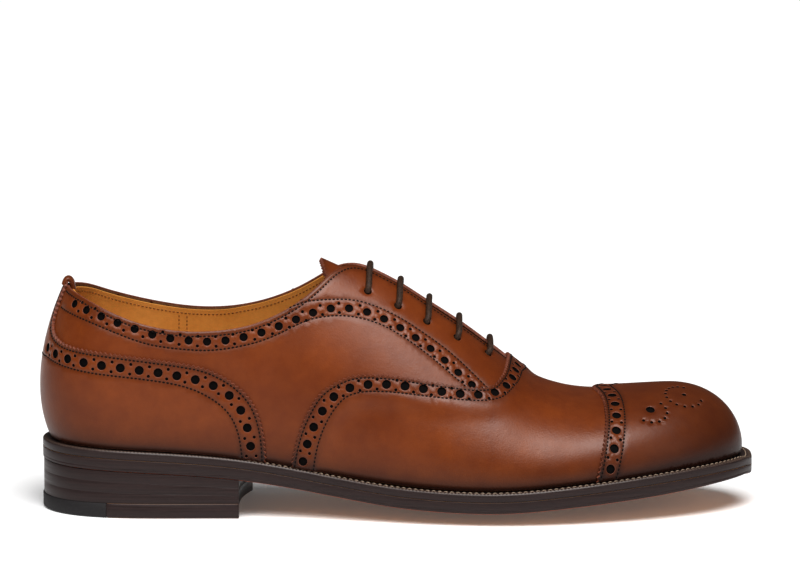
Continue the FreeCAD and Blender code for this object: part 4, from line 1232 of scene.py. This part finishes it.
def quarter_loop(side):
    """Outline of a quarter on the side map, hidden edges included."""
    top = np.array(TOPLINE[side], float) * (side, 1)
    low = np.array(QUARTER_HIDDEN_EDGE, float) * (side, 1)
    seam = side * SEAM_GAP
    upper = even(side_chart, through(top), TOPLINE_STEP)[::-1]
    return joined([
        straight(side_chart, (seam, 0), low[3], FOOT_STEP),
        even(side_chart, through(low[3:]), QUARTER_STEP),
        straight(side_chart, low[-1], upper[0], QUARTER_STEP),
        upper,
        straight(side_chart, (seam, upper[-1][1]), (seam, 0), QUARTER_STEP),
    ])


def row_below(edge, distance):
    """Row at a distance under an edge of the side map."""
    sign = 1 if beside(side_chart, edge, 1.0)[60, 1] < edge[60, 1] else -1
    return beside(side_chart, edge, sign * distance)


def eyelet_places(side):
    """Map places of one side's lace holes."""
    places = []
    for run, distance in EYELETS:
        c = station_at(np.array([run]), np.array([side]))
        girth = girths(c, np.array([side]))[0, -1]
        places.append((side * run, girth - distance))
    return places


def quarter(side, word):
    """Quarter with its punched band under the topline and its five lace holes."""
    top = np.array(TOPLINE[side], float) * (side, 1)
    rows = [row_below(even(side_chart, through(top), ROW_STEP), TOPLINE_ROW)[6:-20]]
    for line in (BAND_LOW_ROW, BAND_SPLIT_ROW):
        rows.append(even(side_chart, through(on_side(line, side)), ROW_STEP))
    cups = broguing(side_chart, on_side(BAND_MIDDLE, side), *QUARTER_PUNCHES)
    openings = [(place, EYELET_DIAMETER / 2) for place in eyelet_places(side)]
    piece = panel("quarter_" + word, side_chart, quarter_loop(side), flat_lift, LEATHER, UPPER_SET,
                  rows, cups, openings, shade=shoe_shade)
    attach(piece, "upper_leather", "quarter_" + word)
    sew_rows("quarter_stitches_" + word, side_chart, rows, flat_lift)


def lining_lift(p):
    """The quarter lining steps in behind the heel stiffener."""
    share = smoothstep((STIFFENER_END_RUN + 14 - np.abs(p[:, 0])) / 12)
    return LINING_OUTER - STIFFENER_STEP * share


def quarter_lining(side, word):
    """Tan lining with a double sewn seam and a row of stitches along the top."""
    top = np.array(TOPLINE[side], float)
    top[:, 1] -= .6
    top[-1] = (211, 73 if side == LATERAL else 65.5)
    top[:, 0] *= side
    low = np.array(LINING_HIDDEN_EDGE, float) * (side, 1)
    upper = even(side_chart, through(top), 1.4)[::-1]
    seam = side * SEAM_GAP
    loop = joined([
        straight(side_chart, (seam, 0), low[4], LINING_FOOT_STEP),
        even(side_chart, through(low[4:]), LINING_STEP),
        straight(side_chart, low[-1], upper[0], LINING_STEP),
        upper,
        straight(side_chart, (seam, upper[-1][1]), (seam, 0), LINING_STEP),
    ])
    openings = [(place, EYELET_DIAMETER / 2) for place in eyelet_places(side)]
    piece = panel("quarter_lining_" + word, side_chart, loop, lining_lift, LINING,
                  [LINING_MATERIAL, LINING_MATERIAL, HOLE, LINING_MATERIAL], openings=openings,
                  spacing=2.8)
    attach(piece, "lining_leather", "quarter_lining_" + word)
    rows = [row_below(even(side_chart, through(top), ROW_STEP), LINING_ROW)[6:-30]]
    for run in LINING_SEAM_RUNS:
        seam_top = float(topline[side](run)) - 3.4
        rows.append(straight(side_chart, (side * run, 6), (side * run, seam_top), 1.0))
    sewn = stitches("lining_stitches_" + word, side_chart, rows,
                    lambda p: lining_lift(p) - LINING - .02, LINING_THREAD, 1.7, .22, inwards=True)
    attach(sewn, "lining_leather")


def heel_counter():
    """Counter with its pinked top edge and the back strip that runs up the seam."""
    half = np.array(COUNTER_EDGE, float)
    edges = []
    for mirrored in (half * (-1, 1), half):
        tip = even(side_chart, through(mirrored[:2]), ROW_STEP)
        rest = even(side_chart, through(mirrored[1:]), TOOTH_STEP)
        edges.append((tip, gimped(side_chart, rest)))
    left_tip, left = edges[0]
    right_tip, right = edges[1]
    foot = straight(side_chart, right[-1], left[-1], FOOT_STEP)
    loop = joined([left[::-1], left_tip[::-1], right_tip, right, foot])
    rows = []
    cups = []
    for side in (LATERAL, MEDIAL):
        edge = even(side_chart, through((half * (side, 1))[1:]), ROW_STEP)
        rows.append(row_below(edge, 1.5)[2:])
        inner = np.array(COUNTER_INNER_ROW, float)[1:] * (side, 1)
        rows.append(even(side_chart, through(inner), ROW_STEP))
        middle = np.array(COUNTER_MIDDLE, float)[1:] * (side, 1)
        cups += broguing(side_chart, middle, *COUNTER_PUNCHES)
    run, rise = COUNTER_INNER_ROW[1]
    rows.append(straight(side_chart, (-run, rise), (run, rise), ROW_STEP)[1:-1])
    piece = panel("heel_counter", side_chart, loop, over_lift, LEATHER, UPPER_SET, rows, cups,
                  shade=shoe_shade, spacing=2.0)
    attach(piece, "upper_leather", "heel_counter", bends=False)
    sew_rows("heel_counter_stitches", side_chart, rows, over_lift, bends=False)


def back_tab():
    """Small strip folded over the top of the back seam, from the counter to the lining."""
    fold = [(66.4, 1.5), (68.4, 1.7), (69.5, 1.3), (70.0, .3), (69.8, -.9), (68.9, -2.1), (67.4, -3.2),
            (65.8, -3.9), (64.2, -4.1)]
    back = even_plane(through(fold), 22)
    along = unit(np.gradient(back, axis=0))
    square = np.stack([-along[:, 1], along[:, 0]], -1)
    build = Builder()
    rings = []
    for share in np.linspace(-1, 1, 15):
        edge = math.sqrt(max(1 - abs(share) ** 6, 0.0))
        thick = .2 + .85 * edge
        run = TAB_HALF_WIDTH * share
        outer = back + square * (thick - .5)
        inner = back - square * (.5 + edge)
        loop = np.concatenate([outer, inner[::-1]])
        p = np.column_stack([np.full(len(loop), run), loop[:, 0]])
        rings.append(build.add(side_chart.place(p, loop[:, 1]), .45 - .3 * edge))
    for a, b in zip(rings, rings[1:]):
        build.strip(a, b)
    build.face(rings[0][::-1])
    build.face(rings[-1])
    attach(build.make("back_tab", [UPPER]), "upper_leather", bends=False)


def even_plane(line, count):
    """Even points along a plane line."""
    dense = line(np.linspace(0, 1, 300))
    gone = distances(dense)
    return sampled(np.linspace(0, gone[-1], count), gone, dense)


def vamp_lift_near(rim):
    """Height of the vamp: over the quarters near its wing edge, then down onto the last."""
    def lift(p):
        clear = nearest(toe_chart.place(p), rim)
        return (LEATHER + LAYER_GAP) * (1 - smoothstep((clear - SKIVE_START) / SKIVE_LENGTH))
    return lift


def toe_rim(c_from, c_to, side, spacing):
    """Line along the feather edge on the toe map."""
    return straight(toe_chart, (c_from, side), (c_to, side), spacing)


def toe_loop(rear, spacing):
    """Outline from a rear edge across the ridge to the toe tip, round the feather edge."""
    medial = toe_rim(rear[-1, 0], 1.0, 1, spacing)
    lateral = toe_rim(1.0, rear[0, 0], -1, spacing)
    return joined([rear, medial, lateral])


def row_ahead(edge, distance):
    """Row at a distance from an edge of the toe map, towards the toe."""
    middle = len(edge) // 2
    moved = toe_chart.place(beside(toe_chart, edge, 1.0))[middle, 0]
    sign = 1 if moved > toe_chart.place(edge)[middle, 0] else -1
    return beside(toe_chart, edge, sign * distance)


def vamp():
    """Vamp with its wings, pinked and punched along the edge that lies over the quarters."""
    wing = across_toe(VAMP_WING_EDGE, VAMP_RIDGE_RUN)
    rim = toe_chart.place(even(toe_chart, wing, 1.5))
    lift = vamp_lift_near(rim)
    front_edge = [(run + VAMP_UNDER_CAP, rise) for run, rise in CAP_EDGE]
    front = even(toe_chart, across_toe(front_edge, CAP_RIDGE_RUN + VAMP_UNDER_CAP), FOOT_STEP)[::-1]
    rear = gimped(toe_chart, even(toe_chart, wing, TOOTH_STEP))
    medial = toe_rim(rear[-1, 0], front[0, 0], 1, FOOT_STEP)
    lateral = toe_rim(front[-1, 0], rear[0, 0], -1, FOOT_STEP)
    loop = joined([rear, medial, front, lateral])
    outer_row = row_ahead(even(toe_chart, wing, ROW_STEP), EDGE_ROW)
    inner_row = even(toe_chart, across_toe(WING_INNER_ROW, VAMP_RIDGE_RUN + WING_INNER_STEP), ROW_STEP)
    middle = across_toe(WING_MIDDLE, VAMP_RIDGE_RUN + WING_MIDDLE_STEP)
    rows = [outer_row, inner_row]
    cups = broguing(toe_chart, middle(np.linspace(0, 1, 60)), *VAMP_PUNCHES)
    piece = panel("vamp", toe_chart, loop, lift, LEATHER, UPPER_SET, rows, cups, shade=shoe_shade)
    attach(piece, "upper_leather", "vamp")
    sew_rows("vamp_stitches", toe_chart, rows, lift)


def rosette():
    """Generic rosette of punched holes on the toe cap, the same on both sides of the middle."""
    holes = []
    for side in (LATERAL, MEDIAL):
        holes.append((tuple(toe_place(*ROSETTE_HOLE, side)), ROSETTE_BIG_HOLE))
        for run, rise, radius, places, left_open in ROSETTE_RINGS:
            ring = circles(toe_chart, [toe_place(run, rise, side)], [radius], [places])[0]
            holes += [(tuple(place), SMALL_HOLE) for k, place in enumerate(ring) if k not in left_open]
        holes.append((tuple(toe_place(*ROSETTE_EYE, side)), ROSETTE_EYE_HOLE))
    return holes


def toe_cap():
    """Cap with a pinked rear edge, a punched band and a punched rosette."""
    line = across_toe(CAP_EDGE, CAP_RIDGE_RUN)
    rear = gimped(toe_chart, even(toe_chart, line, TOOTH_STEP))
    loop = toe_loop(rear, CAP_FOOT_STEP)
    fine = even(toe_chart, line, ROW_STEP)
    rows = [row_ahead(fine, EDGE_ROW), row_ahead(fine, CAP_FRONT_STEP)]
    middle = row_ahead(fine, CAP_MIDDLE_STEP)
    cups = broguing(toe_chart, middle[::4], *CAP_PUNCHES)
    cups += rosette()
    piece = panel("toe_cap", toe_chart, loop, over_lift, LEATHER, UPPER_SET, rows, cups,
                  shade=shoe_shade, spacing=2.0)
    attach(piece, "upper_leather", "toe_cap", bends=False, body="forepart")
    sew_rows("toe_cap_stitches", toe_chart, rows, over_lift, bends=False, body="forepart")


def vamp_lining():
    """Lining of the forepart, from the ball to the toe."""
    edge = even(toe_chart, across_toe(VAMP_LINING_EDGE, VAMP_LINING_RIDGE_RUN), VAMP_LINING_STEP)
    loop = toe_loop(edge, VAMP_LINING_STEP)
    piece = panel("vamp_lining", toe_chart, loop, lambda p: np.full(len(p), LINING_OUTER), LINING,
                  [LINING_MATERIAL, LINING_MATERIAL], spacing=3.2)
    attach(piece, "lining_leather", "vamp_lining")


def tongue():
    """Tongue under the facings, with a pinked top edge."""
    edge_x = feather_edge(STATIONS, np.full(len(STATIONS), LATERAL))[:, 0]
    base, top = np.interp((TONGUE_BASE_X, TONGUE_TOP_X), edge_x, runs[LATERAL]).tolist()
    narrow = TONGUE_HALF_WIDTH * .72
    wide = TONGUE_HALF_WIDTH
    widening = top + (base - top) * .375
    top -= TONGUE_LIP
    crown = through([(top + 2.5, -wide), (top + .6, -wide * .55), (top, 0), (top + .6, wide * .55),
                     (top + 2.5, wide)])
    upper = gimped(ridge_chart, even(ridge_chart, crown, 1.2), .5)
    corners = [upper[-1], (widening, wide), (base, narrow), (base, -narrow), (widening, -wide), upper[0]]
    parts = [upper]
    parts += [straight(ridge_chart, a, b, TONGUE_STEP) for a, b in zip(corners, corners[1:])]
    row = beside(ridge_chart, even(ridge_chart, crown, ROW_STEP), 2.6)
    piece = panel("tongue", ridge_chart, joined(parts), lambda p: np.full(len(p), -TONGUE_DEPTH),
                  TONGUE_THICKNESS, [UPPER, CUT, HOLE, LINING_MATERIAL], rows=[row], bevel=.35)
    attach(piece, "upper_leather", "tongue", bends=False, body="tongue_body")


# Lace
def beside_ridge(run, side, distance, offset):
    """Point at a distance down from the ridge, on the section at a run."""
    side = np.array([side])
    c = station_at(np.array([float(run)]), side)
    gone = girths(c, side)
    return last_points(c, side, at_girth(gone, gone[:, -1] - distance), offset)[0]


def bar_points(index, side):
    """Points of a lace bar from one side's eyelet over to the other's."""
    run, distance = EYELETS[index]
    half = ((1.0, LACE_OVER), (.68, LACE_OVER + .15), (.32, LACE_OVER + .1))
    points = [beside_ridge(run, side, distance * share, over) for share, over in half]
    points += [beside_ridge(run, -side, distance * share, over) for share, over in half[::-1]]
    return points


def under_points(first, last, side, step):
    """Points of a hidden run under the facing, stepping aside on the way."""
    run_a, distance_a = EYELETS[first]
    run_b, distance_b = EYELETS[last]
    count = 2 * abs(last - first)
    points = []
    for i in range(count + 1):
        share = i / count
        run = run_a + (run_b - run_a) * share
        distance = distance_a + (distance_b - distance_a) * share
        aside = step * math.sin(math.pi * share)
        depth = LACE_UNDER - .25 * math.sin(math.pi * share)
        points.append(beside_ridge(run, side, distance + aside, depth))
    return points


def lace_route():
    """Centre line of the lace from one tucked end to the other."""
    run, distance = EYELETS[3]
    tail_a = [beside_ridge(run - 15, MEDIAL, distance + 9, LACE_UNDER - 1.2),
              beside_ridge(run - 7, MEDIAL, distance + 6.4, LACE_UNDER - .5)]
    run, distance = EYELETS[4]
    tail_b = [beside_ridge(run - 7, LATERAL, distance + 3, LACE_UNDER - .4),
              beside_ridge(run - 14, LATERAL, distance + 7, LACE_UNDER - 1.2)]
    route = tail_a + [beside_ridge(EYELETS[3][0], MEDIAL, EYELETS[3][1], LACE_UNDER)]
    route += bar_points(3, MEDIAL)
    route += under_points(3, 1, LATERAL, -LACE_SIDE_STEP)
    route += bar_points(1, LATERAL)
    route += under_points(1, 0, MEDIAL, 0.4)
    route += bar_points(0, MEDIAL)
    route += under_points(0, 2, LATERAL, LACE_SIDE_STEP)
    route += bar_points(2, LATERAL)
    route += under_points(2, 4, MEDIAL, -LACE_SIDE_STEP)
    route += bar_points(4, MEDIAL)
    route += [beside_ridge(EYELETS[4][0], LATERAL, EYELETS[4][1], LACE_UNDER)]
    route += tail_b
    return route


def spline_points(route):
    """Points along the smooth spline of the lace's route, in millimetres."""
    curve = bpy.data.curves.new("lace_line", "CURVE")
    curve.dimensions = "3D"
    curve.resolution_u = 24
    spline = curve.splines.new("NURBS")
    spline.points.add(len(route) - 1)
    for point, place in zip(spline.points, route):
        point.co = (*((place - ORIGIN) * MM), 1.0)
    spline.order_u = 3
    spline.use_endpoint_u = True
    line = bpy.data.objects.new("lace_line", curve)
    bpy.context.scene.collection.objects.link(line)
    bpy.context.view_layer.update()
    mesh = bpy.data.meshes.new_from_object(line)
    points = np.array([v.co for v in mesh.vertices], float) / MM + ORIGIN
    bpy.data.objects.remove(line)
    bpy.data.curves.remove(curve)
    bpy.data.meshes.remove(mesh)
    return points


def braided_tube(name, points, radius, material):
    """Round braided cord: a tube whose surface rises and falls with two crossing spirals."""
    gone = distances(points)
    want = np.arange(0, gone[-1], LACE_RING_STEP)
    centre = sampled(want, gone, points)
    along = unit(np.gradient(centre, axis=0))
    side = np.zeros_like(centre)
    side[0] = unit(np.cross(along[0], (0, 0, 1)))
    for i in range(1, len(centre)):
        side[i] = unit(side[i - 1] - along[i] * (side[i - 1] @ along[i]))
    up = np.cross(along, side)
    turn = np.arange(LACE_SIDES) * 2 * math.pi / LACE_SIDES
    build = Builder()
    rings = []
    for i in range(len(centre)):
        one = np.cos(BRAID_STRANDS * turn + want[i] * BRAID_TWIST)
        two = np.cos(BRAID_STRANDS * turn - want[i] * BRAID_TWIST)
        size = radius * (.95 + .05 * np.maximum(one, two))
        around = side[i] * np.cos(turn)[:, None] + up[i] * np.sin(turn)[:, None]
        rings.append(build.add(centre[i] + size[:, None] * around))
    for a, b in zip(rings, rings[1:]):
        build.strip(a, b)
    build.face(rings[0][::-1])
    build.face(rings[-1])
    return build.make(name, [material], sharp=70)


def lace():
    piece = braided_tube("lace", spline_points(lace_route()), LACE_DIAMETER / 2 + LACE_SWELL, LACE)
    attach(piece, "lace_cotton", "lace", bends=False)


# Bottom
def station_of_x(x):
    """Station whose feather edge is at an X."""
    share = np.clip((x - HEEL_BACK_X) / (TOE_TIP_X - HEEL_BACK_X), 0, 1)
    return np.arccos(1 - 2 * share) / np.pi


def welt_level(x, y):
    """Height of the welt's top plane, cambered across the forepart."""
    c = station_of_x(x)
    half_left = np.abs(outline[MEDIAL](c)) + 6.0
    half_right = np.abs(outline[LATERAL](c)) + 6.0
    middle = (half_left - half_right) / 2
    half = (half_left + half_right) / 2
    across = np.minimum(np.abs(y - middle) / half, 1.0)
    return welt_top(x) - camber(x) * (1 + np.cos(np.pi * across)) / 2


def sole_bottom(x, y):
    return np.maximum(welt_level(x, y) - bottom_thickness(x), 0.0)


def below_welt(depth):
    return lambda x, y: welt_level(x, y) - depth


def perimeter(spacing):
    """Stations and sides round the whole shoe: lateral side to the toe, and back."""
    lists = []
    for side in (LATERAL, MEDIAL):
        run = runs[side]
        count = int(round(run[-1] / spacing))
        c = np.interp(np.arange(count) / count * run[-1], run, STATIONS)
        if side == MEDIAL:
            c = np.interp((np.arange(count) + 1) / count * run[-1], run, STATIONS)[::-1]
        lists.append((c, np.full(count, side)))
    return np.concatenate([lists[0][0], lists[1][0]]), np.concatenate([lists[0][1], lists[1][1]])


def edge_line(c, side, distance):
    """Plan line beside the feather edge, outwards."""
    return feather_edge(c, side) + outward(c, side) * np.broadcast_to(distance, c.shape)[:, None]


def inset_plan(loop, distance):
    """A closed plan outline moved inwards."""
    along = unit(np.roll(loop, -1, 0) - np.roll(loop, 1, 0))
    sign = 1 if map_area(loop) > 0 else -1
    return loop + sign * distance * np.stack([-along[:, 1], along[:, 0]], -1)


def slab(name, loop, top, bottom, profile, materials, kinds, spacing=4.0, rings=(), face_kind=0):
    """A block between two heights. The profile lists (inset, share of the depth) down its side."""
    build = Builder()
    if map_area(loop) < 0:
        loop = loop[::-1]
    levels = []
    for inset, share in profile:
        line = inset_plan(loop, inset)
        x, y = line[:, 0], line[:, 1]
        z = top(x, y) + (bottom(x, y) - top(x, y)) * share
        levels.append(build.add(np.column_stack([x, y, z])))
    for (a, b), kind in zip(zip(levels, levels[1:]), kinds):
        build.strip(b, a, kind)
    for end, height in ((0, top), (-1, bottom)):
        rim = inset_plan(loop, profile[end][0])
        points = [rim]
        lifts = [np.zeros(len(rim))]
        if end == -1:
            for distance, depth in rings:
                ring = inset_plan(loop, distance)
                points.append(ring)
                lifts.append(np.full(len(ring), depth))
        near = np.concatenate(points)
        low = rim.min(0)
        high = rim.max(0)
        across, up = np.meshgrid(np.arange(low[0], high[0], spacing), np.arange(low[1], high[1], spacing))
        loose = np.column_stack([across.ravel(), up.ravel()])
        keep = inside_loop(loose, rim)
        keep[keep] = nearest(loose[keep], near) > .6 * spacing
        points.append(loose[keep])
        lifts.append(np.zeros(keep.sum()))
        flat = np.concatenate(points)
        faces = triangles(flat, [np.arange(len(rim))])
        x, y = flat[:, 0], flat[:, 1]
        z = height(x, y) + np.concatenate(lifts)
        extra = build.add(np.column_stack([x, y, z])[len(rim):])
        index = np.concatenate([levels[end], extra])
        build.many(index[faces if end == 0 else faces[:, ::-1]], face_kind)
    return build.make(name, materials, sharp=40)


def edge_strip(name, c, side, cross, materials, kinds, wheel):
    """A strip that follows the feather edge. Each row of cross is a corner of its section:
    distance out, share of the welt's stand added to it, depth, and share of the wheeling, whose ticks get
    painted highlights."""
    build = Builder()
    stand = welt_stand(c)
    rows = []
    for distance, on_stand, depth, wheeled in cross:
        line = edge_line(c, side, distance + on_stand * stand)
        x, y = line[:, 0], line[:, 1]
        tick = np.where(np.arange(len(c)) % 2 == 0, wheel, -wheel * .5) * wheeled
        z = welt_level(x, y) - depth + tick
        # painted highlight: every second point of the wheeled rows is lightened in colour
        light = np.where(np.arange(len(c)) % 2 == 0, .6, 0.0) * wheeled
        rows.append(build.add(np.column_stack([x, y, z]), light))
    count = len(rows)
    for k in range(count):
        build.strip(rows[k], rows[(k + 1) % count], kinds[k], closed=False)
    build.face([row[0] for row in rows])
    build.face([row[-1] for row in rows][::-1])
    return build.make(name, materials, sharp=35)


WELT_STEP = .75
WELT_CROSS = [(-INSEAM_INSET, 0, 0.0, 0), (-2.1, 1, .05, 0), (-1.5, 1, 0.0, 1),
              (-.5, 1, .05, 1), (-.08, 1, .5, 0), (0, 1, .9, 0), (0, 1, 3.0, 0), (-.2, 1, 3.45, 0),
              (-INSEAM_INSET, 0, 3.55, 0)]


def welt():
    """Welt round the forepart and waist, wheeled along its edge, and the rand round the heel seat."""
    c, side = perimeter(WELT_STEP)
    x = feather_edge(c, side)[:, 0]
    start = np.where(side < 0, BREAST_LATERAL_X, BREAST_MEDIAL_X) + 3
    materials = [WELT_MATERIAL, SOLE_EDGE]
    kinds = [0] * 4 + [1] * (len(WELT_CROSS) - 4)
    front = np.flatnonzero(x >= start)
    piece = edge_strip("welt", c[front], side[front], WELT_CROSS, materials, kinds, WELT_WHEEL)
    attach(piece, "sole_leather", "welt_lateral", "welt_medial", "welt_forepart")
    seat_end = start + WELT_STEP
    rear = np.concatenate([np.flatnonzero((x < seat_end) & (side > 0)),
                           np.flatnonzero((x < seat_end) & (side < 0))])
    piece = edge_strip("heel_rand", c[rear], side[rear], WELT_CROSS, materials, kinds, RAND_WHEEL)
    attach(piece, "sole_leather", "heel_rand", bends=False)
    welt_stitches(c[front], side[front])


def welt_stitches(c, side):
    """Lockstitches that sew the welt to the sole."""
    build = Builder()
    line = edge_line(c, side, welt_stand(c) - 2.6)
    x, y = line[:, 0], line[:, 1]
    points = np.column_stack([x, y, welt_level(x, y) + .12])
    sew(build, points, np.tile((0.0, 0.0, 1.0), (len(c), 1)), 2.6, .32)
    piece = build.make("welt_stitches", [WELT_THREAD], sharp=80)
    attach(piece, "sole_leather")


def outsole():
    """Leather outsole with its inked edge, bright bottom line and tan face."""
    c, side = perimeter(1.5)
    loop = edge_line(c, side, welt_stand(c))
    profile = [(.12, 0), (0, .05), (0, .64), (.12, .69), (.02, .74), (.08, .9), (.32, .95), (1.1, 1.0)]
    kinds = [0, 0, 0, 0, 0, 0, 2]
    piece = slab("outsole", loop, below_welt(WELT_THICKNESS + LAYER_GAP), sole_bottom, profile,
                 [SOLE_EDGE, SOLE_FACE, SOLE_LINE], kinds, rings=SOLE_GROOVE, face_kind=1)
    attach(piece, "sole_leather", "outsole_rear", "outsole_forepart")


def insole():
    """Insole board that the foot rests on."""
    c, side = perimeter(2.5)
    loop = edge_line(c, side, -INSOLE_INSET)
    top = below_welt(-INSOLE_LIFT)
    bottom = below_welt(-INSOLE_LIFT + INSOLE_THICKNESS)
    piece = slab("insole", loop, top, bottom, [(.4, 0), (0, .15), (0, .85), (.4, 1)], [INSOLE], [0, 0, 0])
    attach(piece, "insole_leather", "insole_rear", "insole_forepart")


def heel_loop(inset):
    """Plan outline of the heel with its shallow curved breast."""
    c, side = perimeter(1.2)
    line = edge_line(c, side, welt_stand(c) - inset)
    limit = np.where(side < 0, BREAST_LATERAL_X, BREAST_MEDIAL_X)
    lateral = line[(side < 0) & (line[:, 0] < limit - .3)]
    medial = line[(side > 0) & (line[:, 0] < limit - .3)]
    first = np.array((BREAST_LATERAL_X, lateral[-1, 1]))
    last = np.array((BREAST_MEDIAL_X, medial[0, 1]))
    middle = np.array((BREAST_MIDDLE_X, (first[1] + last[1]) / 2))
    breast = through([first, (first + middle) / 2 - (.3, 0), middle, (last + middle) / 2 - (1.2, 0), last])
    return np.concatenate([lateral, breast(np.linspace(0, 1, 40)), medial])


def seat(x, y):
    return welt_level(x, y) - bottom_thickness(x) - LAYER_GAP


def heel():
    """Three wedge lifts over a leather top piece with a rubber quarter."""
    loop = heel_loop(.4)

    def level(k):
        return lambda x, y: TOP_PIECE_THICKNESS + (seat(x, y) - TOP_PIECE_THICKNESS) * k / LIFT_COUNT

    profile = [(.06, 0), (0, .03), (0, .97), (.06, 1)]
    for k in range(LIFT_COUNT):
        name = "heel_lift_%d" % (k + 1)
        piece = slab(name, loop, level(k + 1), level(k), profile, [SOLE_EDGE], [0] * 3, spacing=6)
        attach(piece, "heel_leather", name, bends=False)
    whole = heel_loop(0.0)
    split = through([(RUBBER_LENGTH, -60), (RUBBER_LENGTH, -30), (RUBBER_MIDDLE_X, 0), (RUBBER_LENGTH, 30),
                     (RUBBER_LENGTH, 60)])
    line = split(np.linspace(0, 1, 300))
    across = np.interp(whole[:, 1], line[:, 1], line[:, 0])
    behind = whole[:, 0] < across
    inner = line[inside_loop(line, whole)]
    cut_lateral, cut_medial = inner[0], inner[-1]
    inner = inner[::8]
    back = np.flatnonzero(behind)
    gap = np.flatnonzero(np.diff(back) > 1)
    order = np.concatenate([back[gap[0] + 1:], back[:gap[0] + 1]])
    rubber_loop = np.concatenate([whole[order], [cut_lateral], inner[1:-1], [cut_medial]])
    front_loop = np.concatenate([whole[~behind], [cut_medial], inner[1:-1][::-1], [cut_lateral]])
    profile = [(.25, 0), (0, .06), (0, .9), (.15, .96), (.5, 1)]

    def flat_top(x, y):
        return np.full(len(x), TOP_PIECE_THICKNESS - LAYER_GAP)

    def ground(x, y):
        return np.zeros(len(x))

    piece = slab("heel_rubber_quarter", rubber_loop, flat_top, ground, profile, [RUBBER], [0] * 4, spacing=5)
    attach(piece, "rubber", "heel_rubber_quarter", bends=False)
    piece = slab("heel_top_piece", front_loop, flat_top, ground, profile, [SOLE_EDGE, SOLE_FACE], [0] * 4,
                 spacing=5, face_kind=1)
    attach(piece, "heel_leather", "heel_top_piece", bends=False)


# CAD nodes that stay as they are
KEPT = {"cork_forepart": CORK, "cork_rear": CORK, "shank": STEEL, "heel_nails": BRASS,
        "heel_stiffener": BOARD, "toe_puff": BOARD, "heel_sock": LINING_MATERIAL, "lace_aglets": AGLET}


def paint_kept_nodes():
    for name, material in KEPT.items():
        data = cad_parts[name].data
        data.materials.clear()
        data.materials.append(material)


# Studio
WORLD_STRENGTH = 0.12
VIEW_GAMMA = 0.8
FLOOR_HALF_SIZE = 12.0
FLOOR_DROP = 0.0003
SKY_ENERGY = 3.3
SKY_ANGLE = math.radians(36)
SKY_DIRECTION = (-.15, .5, -1)
# Area lamps, as (name, place, size, power)
LAMPS = (("key", (-.3, -1.0, 1.0), (1.1, .45), 9.0), ("fill", (1.2, -.9, .6), (.6, .6), 1.5))
LAMP_AIM = (0, 0, .05)


def studio():
    """White floor, white room, a broad light from above and two soft lamps."""
    world = bpy.data.worlds.new("studio")
    world.use_nodes = True
    world.node_tree.nodes["Background"].inputs["Color"].default_value = (1, 1, 1, 1)
    world.node_tree.nodes["Background"].inputs["Strength"].default_value = WORLD_STRENGTH
    bpy.context.scene.world = world
    view = bpy.context.scene.view_settings
    view.view_transform = "Standard"
    view.gamma = VIEW_GAMMA
    mesh = bpy.data.meshes.new("floor")
    size = FLOOR_HALF_SIZE
    corners = [(-size, -size, 0), (size, -size, 0), (size, size, 0), (-size, size, 0)]
    mesh.from_pydata(corners, [], [(0, 1, 2, 3)])
    floor = bpy.data.objects.new("floor", mesh)
    floor.location.z = -FLOOR_DROP
    shader = Shader("floor")
    shader.body.inputs["Emission Color"].default_value = (1, 1, 1, 1)
    white = shader.finish(rgb(240, 240, 240), .9, Emission_Strength=.1, Specular_IOR_Level=.1)
    mesh.materials.append(white)
    bpy.context.scene.collection.objects.link(floor)
    sun = bpy.data.lights.new("sky", "SUN")
    sun.energy = SKY_ENERGY
    sun.angle = SKY_ANGLE
    overhead = bpy.data.objects.new("sky", sun)
    overhead.rotation_euler = Vector(SKY_DIRECTION).to_track_quat("-Z", "Y").to_euler()
    bpy.context.scene.collection.objects.link(overhead)
    for name, place, sizes, power in LAMPS:
        data = bpy.data.lights.new(name, "AREA")
        data.shape = "RECTANGLE"
        data.size, data.size_y = sizes
        data.energy = power
        lamp = bpy.data.objects.new(name, data)
        lamp.location = place
        aim = Vector(LAMP_AIM) - Vector(place)
        lamp.rotation_euler = aim.to_track_quat("-Z", "Y").to_euler()
        bpy.context.scene.collection.objects.link(lamp)


lace()
for each_side, word in ((LATERAL, "lateral"), (MEDIAL, "medial")):
    quarter(each_side, word)
    quarter_lining(each_side, word)
heel_counter()
back_tab()
vamp()
toe_cap()
vamp_lining()
tongue()
welt()
outsole()
insole()
heel()
paint_kept_nodes()
studio()
